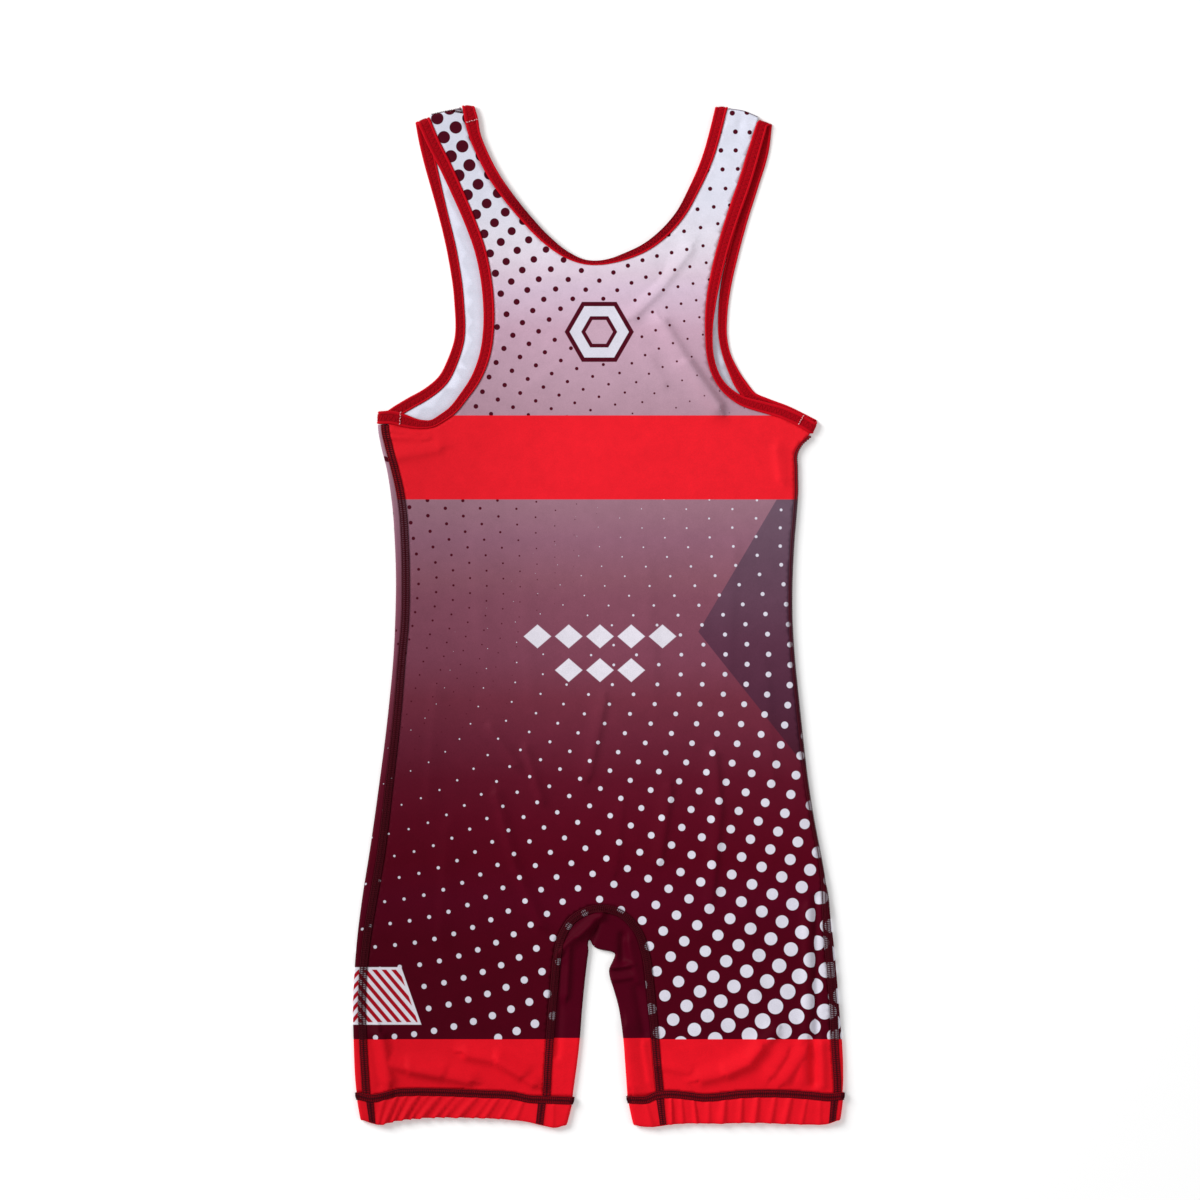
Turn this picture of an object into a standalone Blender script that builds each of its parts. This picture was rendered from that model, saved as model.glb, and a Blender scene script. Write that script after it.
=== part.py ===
"""Wrestling singlet laid flat on its front, built from the pieces that it is sewn from.

The tables are in millimetres. X runs across the garment (the wearer's right is +X), Y runs from the
leg hems up to the shoulders, and Z is up. The front panel is the layer that lies on the floor and the
back panel is the layer on top. Each piece is an outer cloth face, solidified inwards to its wall.
"""
import math

import bmesh
import bpy
import numpy as np
from mathutils import Vector
from mathutils.geometry import delaunay_2d_cdt

MM = 0.001
COLLECTION = "wrestling_singlet"

# Walls and heights
CLOTH = 1.2              # wall of the panels and the gusset
BINDING = 1.8            # wall of the knit bindings
SEAM = 1.6               # wall of the flatlock seams
HEM = 2.0                # wall of the doubled, elasticated hems
TOP = 4.0                # height of the top layer's outer face where it lies flat
BINDING_RISE = 0.6       # how far each raised piece stands above the panels' outer face
SEAM_RISE = 0.4
HEM_RISE = 0.8
HEM_SEAM_RISE = 1.0
FOLD = TOP / 2           # radius of the fold at the garment's sides
BACK_OF_FOLD = -math.pi * FOLD
SHOULDER_FLAT = 2.0      # how far before a shoulder fold the back panel's flat part ends
SHOULDER_BACK = 2.4      # how far past the fold the front panel's flat part ends
GAP = 0.4                # gap between neighbouring pieces
FOLD_GAP = 1.4           # the same on a fold, where the walls lean together on the inside
FRONT_GAP = 1.8          # the same between the front panel and the seam on the right fold
HEM_GAP = 0.6            # the same above and below the hems' cover seams
SEAM_WIDTH = 6.4
ROLL_GAP = 0.2           # extra gap beside a binding that rolls, for each millimetre of its roll

# Spacing of the mesh
BACK_STEP = 9.0          # along the back's armhole and neck edges
FRONT_STEP = 12.0        # along the front's
GUSSET_STEP = 8.5
HEM_STEP = 5.0
GATHER_STEP = 3.0
SHOULDER_STEP = 6.0
SHOULDER_SEAM_STEP = 4.0
LEVEL_STEP = 16.0        # along the side folds, below the chest
UNDERARM_STEP = 6.0      # along them between the chest and the underarms
CHEST_LEVEL = 100.0
UNDERARM_LEVEL = 156.0
TOP_SPACING = 17.5
BOTTOM_SPACING = 30.0
CREASE_SPACING = 3.0     # least distance between the points of two creases
FOLD_STEPS = 4

# Side folds: height up the garment, both outer edges, and how far in from each fold the inner edge of
# its side seam lies (0 is where the top layer starts to turn down)
SIDES = (
    # y, left edge, right edge, left seam, right seam
    (160.0, -176.8, 172.0, 6.9, 0.3),
    (142.8, -175.2, 170.4, 7.0, 0.3),
    (137.2, -174.0, 164.0, 7.2, 0.3),
    (131.6, -172.8, 160.2, 7.4, 0.3),
    (115.6, -168.8, 159.2, 7.7, 0.3),
    (99.6, -166.2, 159.4, 8.8, 0.3),
    (83.6, -164.2, 158.4, 9.2, 0.3),
    (59.6, -162.6, 156.4, 9.2, 0.3),
    (27.6, -161.6, 154.8, 9.0, 0.3),
    (-4.4, -162.2, 154.8, 9.0, 0.3),
    (-36.4, -163.8, 156.8, 7.8, 0.3),
    (-68.4, -166.8, 160.0, 8.3, 0.3),
    (-100.4, -170.4, 163.4, 8.8, 0.3),
    (-132.4, -174.6, 167.2, 9.2, 0.3),
    (-164.4, -179.0, 172.2, 10.0, 0.3),
    (-196.4, -183.8, 178.4, 10.6, 0.3),
    (-212.4, -186.4, 181.4, 10.4, 1.2),
    (-228.4, -188.8, 184.0, 10.0, 3.2),
    (-260.4, -192.8, 188.2, 8.8, 5.6),
    (-292.4, -195.2, 191.2, 8.2, 5.8),
    (-316.4, -196.0, 193.0, 8.4, 5.8),
    (-344.4, -195.4, 195.4, 8.9, 7.2),
    (-376.4, -193.8, 196.0, 9.2, 5.8),
    (-401.2, -190.4, 193.6, 7.4, 3.4),
)
SIDE_Y, LEFT_EDGE, RIGHT_EDGE, LEFT_SEAM, RIGHT_SEAM = range(5)
UNDERARM_LEFT = 151.6    # where the side seams start, just below the armhole bindings
UNDERARM_RIGHT = 142.6
FRONT_RIGHT_START = 146.2
RIGHT_TUCK = 2.5         # how far in from the right fold the front panel's flat part ends

# Ends of the panels' edges, before each is trimmed where it meets the next one
BACK_SIDE_TOP = 160.0
SIDE_BOTTOM = -392.0
FRONT_HOLE_LEFT = -171.0
FRONT_HOLE_RIGHT = 161.0
BACK_HEM_LEFT = (-188.0, -30.0)
BACK_HEM_RIGHT = (36.0, 194.0)
FRONT_HEM_LEFT = (-194.0, -30.0)
FRONT_HEM_RIGHT = (36.0, 196.0)
GUSSET_OVERRUN = 8.0
OPENING_OVERRUN = 5.0

# Bindings: the line where each binding meets its panel, how wide the binding lies, and its roll
ARMHOLE_LEFT_BACK = (
    # x, y, width, roll
    (-174.0, 152.2, 10.4, 0.4),
    (-165.0, 152.0, 11.0, 0.4),
    (-156.0, 149.8, 10.6, 0.4),
    (-142.0, 148.4, 7.6, 0.6),
    (-132.8, 149.4, 6.4, 0.6),
    (-122.4, 154.8, 6.6, 0.6),
    (-114.0, 160.8, 7.0, 0.6),
    (-104.6, 172.0, 7.4, 0.5),
    (-94.0, 187.0, 8.2, 0.4),
    (-86.4, 206.0, 8.8, 0.4),
    (-83.0, 230.0, 8.9, 0.4),
    (-83.6, 256.4, 9.0, 0.4),
    (-89.6, 291.6, 9.2, 0.4),
    (-98.4, 317.0, 9.4, 0.4),
    (-107.2, 338.0, 9.8, 0.4),
    (-117.6, 361.0, 10.2, 0.4),
    (-127.2, 380.0, 10.4, 0.4),
    (-133.6, 395.4, 10.8, 0.4),
)
ARMHOLE_LEFT_FRONT = (
    (-134.2, 395.2, 12.0, 0.0),
    (-132.4, 381.6, 11.4, 0.0),
    (-129.6, 364.4, 10.2, 0.0),
    (-125.6, 345.6, 9.0, 0.0),
    (-121.4, 327.0, 8.0, 0.0),
    (-112.0, 286.8, 8.0, 0.0),
    (-107.2, 251.6, 7.9, 0.0),
    (-107.4, 216.4, 8.2, 0.0),
    (-111.2, 203.6, 8.6, 0.0),
    (-120.8, 184.4, 9.0, 0.0),
    (-136.0, 171.6, 9.2, 0.0),
    (-147.2, 165.2, 9.4, 0.0),
    (-157.0, 159.4, 9.4, 0.0),
    (-165.0, 154.0, 9.8, 0.0),
    (-174.0, 152.4, 10.2, 0.0),
)
ARMHOLE_RIGHT_BACK = (
    (169.0, 144.8, 10.0, 0.4),
    (157.6, 151.6, 9.8, 0.4),
    (145.6, 157.0, 9.6, 0.4),
    (133.6, 160.6, 9.2, 0.4),
    (122.4, 163.8, 8.8, 0.5),
    (113.2, 167.4, 8.0, 0.6),
    (103.6, 174.2, 7.0, 0.6),
    (96.2, 182.4, 6.2, 0.6),
    (91.0, 192.0, 5.8, 0.7),
    (87.4, 204.6, 5.6, 0.7),
    (85.8, 223.6, 6.0, 0.6),
    (86.6, 251.6, 8.4, 0.4),
    (90.4, 274.0, 9.2, 0.4),
    (96.8, 299.6, 9.6, 0.4),
    (104.8, 325.2, 10.2, 0.4),
    (112.2, 346.6, 10.4, 0.4),
    (119.6, 370.4, 10.0, 0.4),
    (127.0, 393.2, 8.8, 0.4),
)
ARMHOLE_RIGHT_FRONT = (
    (129.2, 393.0, 10.2, 0.0),
    (126.8, 372.0, 10.0, 0.0),
    (119.2, 345.0, 9.6, 0.0),
    (111.2, 319.0, 9.4, 0.0),
    (103.2, 288.0, 9.0, 0.0),
    (97.8, 262.0, 8.6, 0.0),
    (96.0, 240.0, 7.6, 0.0),
    (96.4, 222.0, 7.0, 0.0),
    (99.6, 206.8, 6.8, 0.0),
    (104.4, 193.4, 8.2, 0.0),
    (110.4, 180.4, 10.2, 0.0),
    (120.0, 169.6, 9.8, 0.0),
    (134.0, 163.4, 9.6, 0.0),
    (148.5, 158.0, 9.6, 0.0),
    (160.0, 152.2, 9.8, 0.0),
    (169.6, 146.6, 10.4, 0.0),
)
NECK_BACK = (
    (-108.2, 404.6, 9.8, 0.4),
    (-106.8, 395.6, 11.0, 0.4),
    (-103.4, 382.8, 9.8, 0.4),
    (-96.0, 365.2, 9.2, 0.4),
    (-86.6, 347.6, 9.0, 0.4),
    (-76.0, 332.4, 8.8, 0.5),
    (-62.4, 316.1, 8.2, 0.8),
    (-42.0, 295.7, 7.0, 1.6),
    (-25.6, 284.8, 5.2, 2.6),
    (-10.4, 279.9, 3.4, 3.4),
    (0.0, 279.4, 3.2, 3.4),
    (11.2, 280.8, 3.8, 3.0),
    (23.3, 283.9, 5.4, 2.4),
    (39.7, 290.8, 6.6, 1.6),
    (56.0, 303.0, 7.4, 1.0),
    (68.4, 317.0, 7.8, 0.6),
    (80.4, 338.0, 8.4, 0.4),
    (92.0, 363.6, 9.2, 0.4),
    (99.6, 389.2, 9.6, 0.4),
    (103.2, 403.4, 9.8, 0.4),
)
NECK_FRONT = (
    (103.6, 403.0, 9.6, 0.0),
    (101.6, 371.6, 9.6, 0.0),
    (89.6, 331.6, 9.6, 0.0),
    (65.6, 291.6, 9.6, 0.0),
    (25.6, 258.0, 9.6, 0.0),
    (0.0, 251.6, 9.6, 0.0),
    (-25.6, 258.0, 9.6, 0.0),
    (-65.6, 291.6, 9.6, 0.0),
    (-91.2, 331.6, 9.6, 0.0),
    (-104.8, 371.6, 9.6, 0.0),
    (-108.4, 404.2, 9.6, 0.0),
)

# Shoulder folds between the bindings, the way each strap points there, and where its seam starts
SHOULDER_LEFT = ((-142.0, 397.6), (-134.0, 399.4), (-122.0, 402.0), (-112.0, 404.2), (-100.0, 407.4))
SHOULDER_RIGHT = ((98.0, 405.0), (106.4, 403.8), (115.2, 402.6), (123.2, 399.6), (129.6, 396.6),
                  (138.0, 392.6))
STRAP_LEFT = (-0.250, 0.968)
STRAP_RIGHT = (0.284, 0.959)
SHOULDER_SEAM_LEFT = 1.0
SHOULDER_SEAM_RIGHT = -1.5
SHOULDER_SEAM_WIDTH = 5.0
SHOULDER_SPAN_LEFT = (-133.0, -109.6)   # the seams' ends, between the bindings
SHOULDER_SPAN_RIGHT = (104.8, 127.4)
LEFT_FOOT = -186.0       # where the side seams meet the hem seams
RIGHT_FOOT = 190.0
SIDE_LEFT = (-1.0, 0.0)
SIDE_RIGHT = (0.87, -0.49)

# Gusset: the centre of its seam, and the edge where it turns under at the legs and the crotch
GUSSET = (
    # seam x, seam y, edge x, edge y
    (-41.2, -384.0, -20.2, -384.0),
    (-40.0, -360.4, -16.8, -359.6),
    (-38.6, -340.4, -14.6, -340.4),
    (-36.6, -314.8, -12.6, -314.8),
    (-34.6, -292.4, -10.4, -292.4),
    (-32.8, -274.0, -8.6, -277.0),
    (-28.8, -257.2, -7.6, -269.0),
    (-21.6, -245.2, -7.9, -264.0),
    (-12.0, -238.4, -7.4, -261.0),
    (-1.6, -235.2, -6.0, -261.0),
    (9.6, -236.0, -4.2, -264.4),
    (19.2, -239.6, -0.8, -267.2),
    (27.2, -246.8, 4.8, -268.6),
    (33.2, -255.6, 11.0, -269.8),
    (36.4, -265.2, 13.6, -272.0),
    (38.8, -274.8, 12.0, -276.6),
    (40.4, -286.0, 9.0, -283.4),
    (41.8, -298.8, 9.6, -290.6),
    (43.2, -313.2, 12.6, -300.0),
    (44.8, -328.4, 16.8, -315.6),
    (46.0, -344.4, 20.0, -338.0),
    (47.6, -362.8, 21.8, -361.2),
    (49.4, -382.0, 23.4, -384.0),
)
SEAM_X, SEAM_Y, EDGE_X, EDGE_Y = range(4)

# Leg hems: the centre of the cover seam, and the gathered lower edge, between the side folds
HEM_LEFT = (
    (-190.8, -385.2, -187.4, -404.6),
    (-182.4, -387.1, -180.0, -407.1),
    (-169.6, -384.8, -171.2, -407.6),
    (-162.4, -382.8, -164.0, -405.6),
    (-148.0, -381.8, -152.0, -403.8),
    (-126.4, -382.0, -132.0, -402.4),
    (-105.6, -382.8, -112.0, -402.4),
    (-87.2, -383.6, -92.0, -402.8),
    (-67.2, -384.8, -72.0, -404.0),
    (-55.2, -387.4, -57.6, -405.6),
    (-41.6, -388.0, -44.0, -408.8),
    (-30.4, -388.4, -33.6, -410.4),
    (-22.4, -388.8, -27.6, -408.8),
)
HEM_RIGHT = (
    (26.2, -388.0, 30.8, -408.6),
    (32.0, -388.2, 36.0, -409.6),
    (38.4, -388.1, 42.4, -409.8),
    (46.0, -384.8, 49.6, -409.2),
    (56.0, -383.6, 57.6, -408.0),
    (70.4, -384.7, 71.2, -407.0),
    (85.6, -386.4, 86.4, -407.0),
    (97.6, -385.5, 98.4, -407.1),
    (112.0, -383.8, 112.8, -406.6),
    (127.2, -383.0, 127.2, -406.5),
    (147.2, -383.1, 147.2, -407.2),
    (169.6, -384.6, 168.0, -407.9),
    (185.6, -386.0, 184.0, -407.4),
    (194.0, -385.2, 191.2, -404.8),
)
GATHERS = 14             # gathers on the top face of each hem
GATHER_DEPTH = 0.7
GATHER_LEAN_LEFT = 0.9   # how many gathers each one leans by on its way down
GATHER_LEAN_RIGHT = 0.2
GATHER_AT_SEAM = 0.35    # share of its depth that a gather has at the cover seam
GATHER_FADE = 12         # at each end the gathers fade out over one part in this many of the band
SCALLOP = 0.5

# Folds and creases of the top layer: a soft ridge (or a trough, below 0) along each short line
CREASES = (
    # x0, y0, x1, y1, height, half-width
    (-34.0, 276.0, 34.0, 277.0, 1.8, 20.0),
    (69.6, 223.6, 82.0, 202.0, -0.6, 5.0),
    (82.0, 202.0, 100.0, 168.0, -0.6, 5.0),
    (78.0, 226.0, 92.0, 200.0, 1.0, 6.0),
    (29.6, 239.6, 50.0, 260.0, 0.8, 6.0),
    (50.0, 260.0, 74.0, 292.0, 0.8, 6.0),
    (-86.0, -92.0, -66.0, -120.0, 0.9, 5.0),
    (-58.0, -108.0, -46.0, -148.0, 1.0, 5.0),
    (-82.0, -144.0, -66.0, -204.0, 1.2, 5.0),
    (-66.0, -204.0, -46.0, -248.0, 1.2, 5.0),
    (5.6, -68.0, -6.4, -128.0, 0.8, 6.0),
    (94.0, -112.0, 98.0, -156.0, 1.0, 6.0),
    (98.0, -156.0, 91.0, -228.0, 1.0, 6.0),
    (58.0, -140.0, 50.0, -196.0, 0.8, 6.0),
    (172.0, -228.0, 172.5, -332.0, 2.6, 4.5),
    (172.5, -332.0, 169.5, -370.0, 2.2, 5.0),
    (-170.0, -370.0, -110.0, -375.0, 1.2, 5.0),
    (-98.0, -358.0, -62.0, -375.0, 1.2, 5.0),
    (137.0, -344.0, 122.0, -366.0, 1.8, 6.0),
    (122.0, -366.0, 90.0, -377.0, 1.6, 6.0),
    (33.0, -344.0, 38.0, -374.0, 1.2, 5.0),
    (-6.0, -252.0, 2.0, -242.0, 1.6, 4.5),
    (17.0, -271.0, 30.0, -282.0, 1.4, 4.5),
    (-160.0, 126.0, -128.0, 132.0, 0.9, 7.0),
    (143.0, 132.0, 146.0, 108.0, 1.0, 6.0),
)

# Material: colour, roughness
MATERIALS = {
    "printed_jersey": ((0.26, 0.03, 0.07), 0.55),
    "plain_jersey": ((0.07, 0.004, 0.013), 0.55),
    "red_jersey": ((0.75, 0.02, 0.02), 0.55),
    "red_binding": ((0.55, 0.006, 0.012), 0.60),
    "seam_thread": ((0.035, 0.003, 0.008), 0.70),
}


def spline(rows, step):
    """Points on a smooth curve through the rows, about step apart in their first two columns."""
    knots = np.array(rows, float)
    chords = np.hypot(np.diff(knots[:, 0]), np.diff(knots[:, 1]))
    along = np.concatenate([[0.0], np.cumsum(chords)])
    slopes = np.gradient(knots, along, axis=0)
    count = max(2, round(along[-1] / step) + 1)
    at = np.linspace(0.0, along[-1], count)
    i = np.clip(np.searchsorted(along, at, side="right") - 1, 0, len(along) - 2)
    span = (along[i + 1] - along[i])[:, None]
    u = (at - along[i])[:, None] / span
    start = knots[i] * (1 + 2 * u) * (1 - u) ** 2 + slopes[i] * span * u * (1 - u) ** 2
    end = knots[i + 1] * u * u * (3 - 2 * u) + slopes[i + 1] * span * u * u * (u - 1)
    return start + end


SIDE_CURVE = spline(SIDES, 2.0)[::-1]
HEM_CURVE = np.concatenate([spline(HEM_LEFT, 2.0), spline(HEM_RIGHT, 2.0)])


def side(column, y):
    """One column of the side table at height y."""
    return float(np.interp(y, SIDE_CURVE[:, SIDE_Y], SIDE_CURVE[:, column]))


def hem_top(x):
    """Height up the garment at which the panels end, just above the hem's cover seam."""
    return float(np.interp(x, HEM_CURVE[:, SEAM_X], HEM_CURVE[:, SEAM_Y])) + SEAM_WIDTH / 2 + HEM_GAP


def height(x, y):
    """Height of the top layer's outer face."""
    ridge = trough = 0.0
    for x0, y0, x1, y1, rise, width in CREASES:
        dx, dy = x1 - x0, y1 - y0
        t = min(1.0, max(0.0, ((x - x0) * dx + (y - y0) * dy) / (dx * dx + dy * dy)))
        away = math.hypot(x - x0 - t * dx, y - y0 - t * dy)
        if away < 3 * width:
            lift = rise * math.exp(-(away / width) ** 2)
            ridge = max(ridge, lift)
            trough = min(trough, lift)
    return TOP + ridge + trough


def fold_point(tangent, outward, s, rise):
    """A point on a fold: s before (+) or past (-) the line where the top layer starts to turn under."""
    x, y = tangent
    if s >= 0:
        px, py = x - outward[0] * s, y - outward[1] * s
        return Vector((px, py, height(px, py) + rise))
    turn = -s / FOLD
    if turn >= math.pi:
        back = -s - math.pi * FOLD
        return Vector((x - outward[0] * back, y - outward[1] * back, 0.0))
    tall = (height(x, y) + rise) / 2
    reach = (FOLD + rise / 2) * math.sin(turn)
    return Vector((x + outward[0] * reach, y + outward[1] * reach, tall * (1 + math.cos(turn))))


def side_point(hand, y, s, rise=0.0):
    """A point near a side fold: hand is -1 on the left and 1 on the right."""
    edge = side(LEFT_EDGE if hand < 0 else RIGHT_EDGE, y)
    return fold_point((edge - hand * FOLD, y), (hand, 0.0), s, rise)


def seam_inner(hand, y):
    return side(LEFT_SEAM if hand < 0 else RIGHT_SEAM, y)


def side_levels(start, stop):
    """The heights up the garment that everything along a side fold is built through."""
    underarm = np.arange(UNDERARM_LEVEL, CHEST_LEVEL, -UNDERARM_STEP)
    levels = [start] + [y for y in underarm if y < start - 1.0]
    return levels + list(np.arange(CHEST_LEVEL, stop, -LEVEL_STEP)) + [stop]


def extended(line, before, after):
    """The line, carried on straight by a length at each end."""
    line = np.array(line, float)[:, :2]
    first = (line[0] - line[1]) / np.linalg.norm(line[0] - line[1])
    last = (line[-1] - line[-2]) / np.linalg.norm(line[-1] - line[-2])
    return np.vstack([line[0] + before * first, line, line[-1] + after * last])


def offset(line, distance):
    """The line moved to its left by distance."""
    line = np.array(line, float)[:, :2]
    along = np.gradient(line, axis=0)
    along /= np.linalg.norm(along, axis=1)[:, None]
    return line + distance * np.stack([-along[:, 1], along[:, 0]], axis=1)


def crossing(a, b, c, d):
    """Where segments ab and cd cross, or None."""
    r, s = b - a, d - c
    area = r[0] * s[1] - r[1] * s[0]
    if abs(area) < 1e-9:
        return None
    t = ((c - a)[0] * s[1] - (c - a)[1] * s[0]) / area
    u = ((c - a)[0] * r[1] - (c - a)[1] * r[0]) / area
    return a + t * r if 0 <= t <= 1 and 0 <= u <= 1 else None


def trim(first, second):
    """Two lines cut back to where the first one's end crosses the second one's start."""
    for i in range(len(first) - 2, -1, -1):
        for j in range(len(second) - 1):
            point = crossing(first[i], first[i + 1], second[j], second[j + 1])
            if point is not None:
                return (np.vstack([first[:i + 1], point]), np.vstack([point, second[j + 1:]]))
    return first, second


def closed_outline(edges):
    """The edges of a closed outline, each trimmed where it meets the next."""
    edges = [np.array(edge, float)[:, :2] for edge in edges]
    for i in range(len(edges)):
        following = (i + 1) % len(edges)
        edges[i], edges[following] = trim(edges[i], edges[following])
    return edges


def inside(points, outline):
    """Which points lie inside the closed outline."""
    result = np.zeros(len(points), bool)
    for a, b in zip(outline, np.roll(outline, -1, axis=0)):
        spans = (a[1] > points[:, 1]) != (b[1] > points[:, 1])
        if spans.any():
            x = a[0] + (points[:, 1] - a[1]) * (b[0] - a[0]) / (b[1] - a[1] if b[1] != a[1] else 1.0)
            result ^= spans & (points[:, 0] < x)
    return result


def clear_of(points, outline, distance):
    """Which points lie at least distance from the outline."""
    away = np.full(len(points), np.inf)
    for a, b in zip(outline, np.roll(outline, -1, axis=0)):
        run = b - a
        t = np.clip(((points - a) @ run) / max(run @ run, 1e-9), 0, 1)
        away = np.minimum(away, np.linalg.norm(points - a - t[:, None] * run, axis=1))
    return away > distance


def lattice(outline, spacing):
    """A staggered lattice of points over the outline's box."""
    low, high = outline.min(axis=0), outline.max(axis=0)
    rows = []
    row_step = spacing * math.sqrt(3) / 2
    for k, y in enumerate(np.arange(low[1] + row_step / 2, high[1], row_step)):
        shift = spacing / 2 * (k % 2)
        rows += [(x, y) for x in np.arange(low[0] + shift, high[0], spacing)]
    return np.array(rows)


def crease_points(step):
    """Points along each crease and down both its flanks."""
    points = []
    for x0, y0, x1, y1, _, width in CREASES:
        length = math.hypot(x1 - x0, y1 - y0)
        nx, ny = -(y1 - y0) / length, (x1 - x0) / length
        for t in np.linspace(0.0, 1.0, max(2, round(length / step) + 1)):
            x, y = x0 + t * (x1 - x0), y0 + t * (y1 - y0)
            points += [(x + side_step * nx, y + side_step * ny) for side_step in (-width, 0.0, width)]
    return np.array(points)


def thinned(points, spacing, kept=()):
    """The points, without any that lies closer than spacing to one before it."""
    result = list(kept)
    for point in points:
        if all((point[0] - q[0]) ** 2 + (point[1] - q[1]) ** 2 > spacing * spacing for q in result):
            result.append(point)
    return np.array(result[len(kept):]).reshape(-1, 2)


def new_object(name, mesh, wall, material):
    """An object in the garment's collection, with its wall and material."""
    for polygon in mesh.polygons:
        polygon.use_smooth = True
    obj = bpy.data.objects.new(name, mesh)
    bpy.data.collections[COLLECTION].objects.link(obj)
    obj.data.materials.append(bpy.data.materials[material])
    shell = obj.modifiers.new("wall", "SOLIDIFY")
    shell.thickness = wall * MM
    shell.offset = -1.0
    shell.use_even_offset = True
    return obj


def finish_mesh(name, bm, flipped):
    if flipped:
        bmesh.ops.reverse_faces(bm, faces=bm.faces)
    for vertex in bm.verts:
        vertex.co *= MM
    mesh = bpy.data.meshes.new(name)
    bm.to_mesh(mesh)
    bm.free()
    return mesh


def panel(name, edges, wraps, top, material):
    """A cut panel: its flat outline filled with triangles, and strips that go on round the folds.

    wraps gives, for the number of an edge, a function from a point of that edge to the points that
    the cloth runs on through, and top says which layer the panel is.
    """
    edges = closed_outline(edges)
    outline = np.vstack([edge[:-1] if np.allclose(edge[-1], edges[(i + 1) % len(edges)][0]) else edge
                         for i, edge in enumerate(edges)])
    spacing = TOP_SPACING if top else BOTTOM_SPACING
    points = lattice(outline, spacing)
    if top:
        creases = thinned(crease_points(spacing * 0.8), CREASE_SPACING)
        points = np.vstack([creases, thinned(points, spacing * 0.6, creases)])
    points = points[inside(points, outline)]
    points = points[clear_of(points, outline, spacing * 0.33)]
    corners = [Vector(p) for p in np.vstack([outline, points])]
    found, _, faces, *_ = delaunay_2d_cdt(corners, [], [list(range(len(outline)))], 0, 1e-5)
    found = np.array([tuple(p) for p in found])
    middles = np.array([found[list(face)].mean(axis=0) for face in faces])
    keep = inside(middles, outline)
    bm = bmesh.new()
    verts = [bm.verts.new((x, y, height(x, y) if top else 0.0)) for x, y in found]
    for face, kept in zip(faces, keep):
        if kept:
            bm.faces.new([verts[i] for i in face])
    for number, wrap in wraps.items():
        nearest = [int(np.argmin(((found - p) ** 2).sum(axis=1))) for p in edges[number]]
        rows = [[verts[i]] + [bm.verts.new(q) for q in wrap(p)]
                for i, p in zip(nearest, edges[number])]
        fill_grid(bm, rows, False)
    loose = [v for v in bm.verts if not v.link_faces]
    bmesh.ops.delete(bm, geom=loose, context="VERTS")
    return new_object(name, finish_mesh(name, bm, not top), CLOTH, material)


def fill_grid(bm, rows, closed):
    """Quads between neighbouring rows of vertices."""
    pairs = list(zip(rows, rows[1:])) + ([(rows[-1], rows[0])] if closed else [])
    for row, following in pairs:
        for a, b, c, d in zip(row, row[1:], following[1:], following):
            bm.faces.new((a, b, c, d))


def strip(name, rows, closed, wall, material):
    """A strip of cloth through rows of points, on the outer face of the garment."""
    bm = bmesh.new()
    fill_grid(bm, [[bm.verts.new(p) for p in row] for row in rows], closed)
    bm.normal_update()
    top = max(bm.faces, key=lambda face: face.calc_center_median().z)
    return new_object(name, finish_mesh(name, bm, top.normal.z < 0), wall, material)


def side_edge(hand, inward, start):
    """The line at a distance in from a side fold, from height start down past the hem."""
    line = []
    for y in side_levels(start, SIDE_BOTTOM):
        edge = side(LEFT_EDGE if hand < 0 else RIGHT_EDGE, y)
        line.append((edge - hand * (FOLD + inward(y)), y))
    return line


def hem_edge(x0, x1):
    return [(x, hem_top(x)) for x in np.linspace(x0, x1, round(abs(x1 - x0) / HEM_STEP) + 1)]


def gusset_line(distance):
    """The gusset seam's centre line moved outwards, away from the crotch, by distance."""
    line = offset(spline(GUSSET, GUSSET_STEP), distance)
    return extended(line, GUSSET_OVERRUN, GUSSET_OVERRUN)


def opening_edge(rows, step, distance):
    """The edge of a panel along an opening, at a distance from its binding."""
    return extended(offset(spline(rows, step), distance), OPENING_OVERRUN, OPENING_OVERRUN)


def shoulder_edge(folds, strap, before):
    """The line at a distance before a shoulder fold."""
    line = spline(folds, SHOULDER_STEP)
    return [(x - strap[0] * (FOLD + before), y - strap[1] * (FOLD + before)) for x, y in line]


def shoulder_wrap(strap, start, stop, steps):
    """Carries a panel round a shoulder fold, from start to stop."""
    def wrap(p):
        before = start if start > 0 else -start + BACK_OF_FOLD
        tangent = (p[0] + strap[0] * before, p[1] + strap[1] * before)
        return [fold_point(tangent, strap, s, 0.0) for s in np.linspace(start, stop, steps + 1)[1:]]
    return wrap


def side_wrap(hand, start):
    """Carries the front panel round a side fold, up to the side seam."""
    def wrap(p):
        stop = seam_inner(hand, p[1]) - SEAM_WIDTH - (GAP if hand < 0 else FRONT_GAP)
        return [side_point(hand, p[1], s) for s in np.linspace(start, stop, FOLD_STEPS + 1)[1:]]
    return wrap


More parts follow.
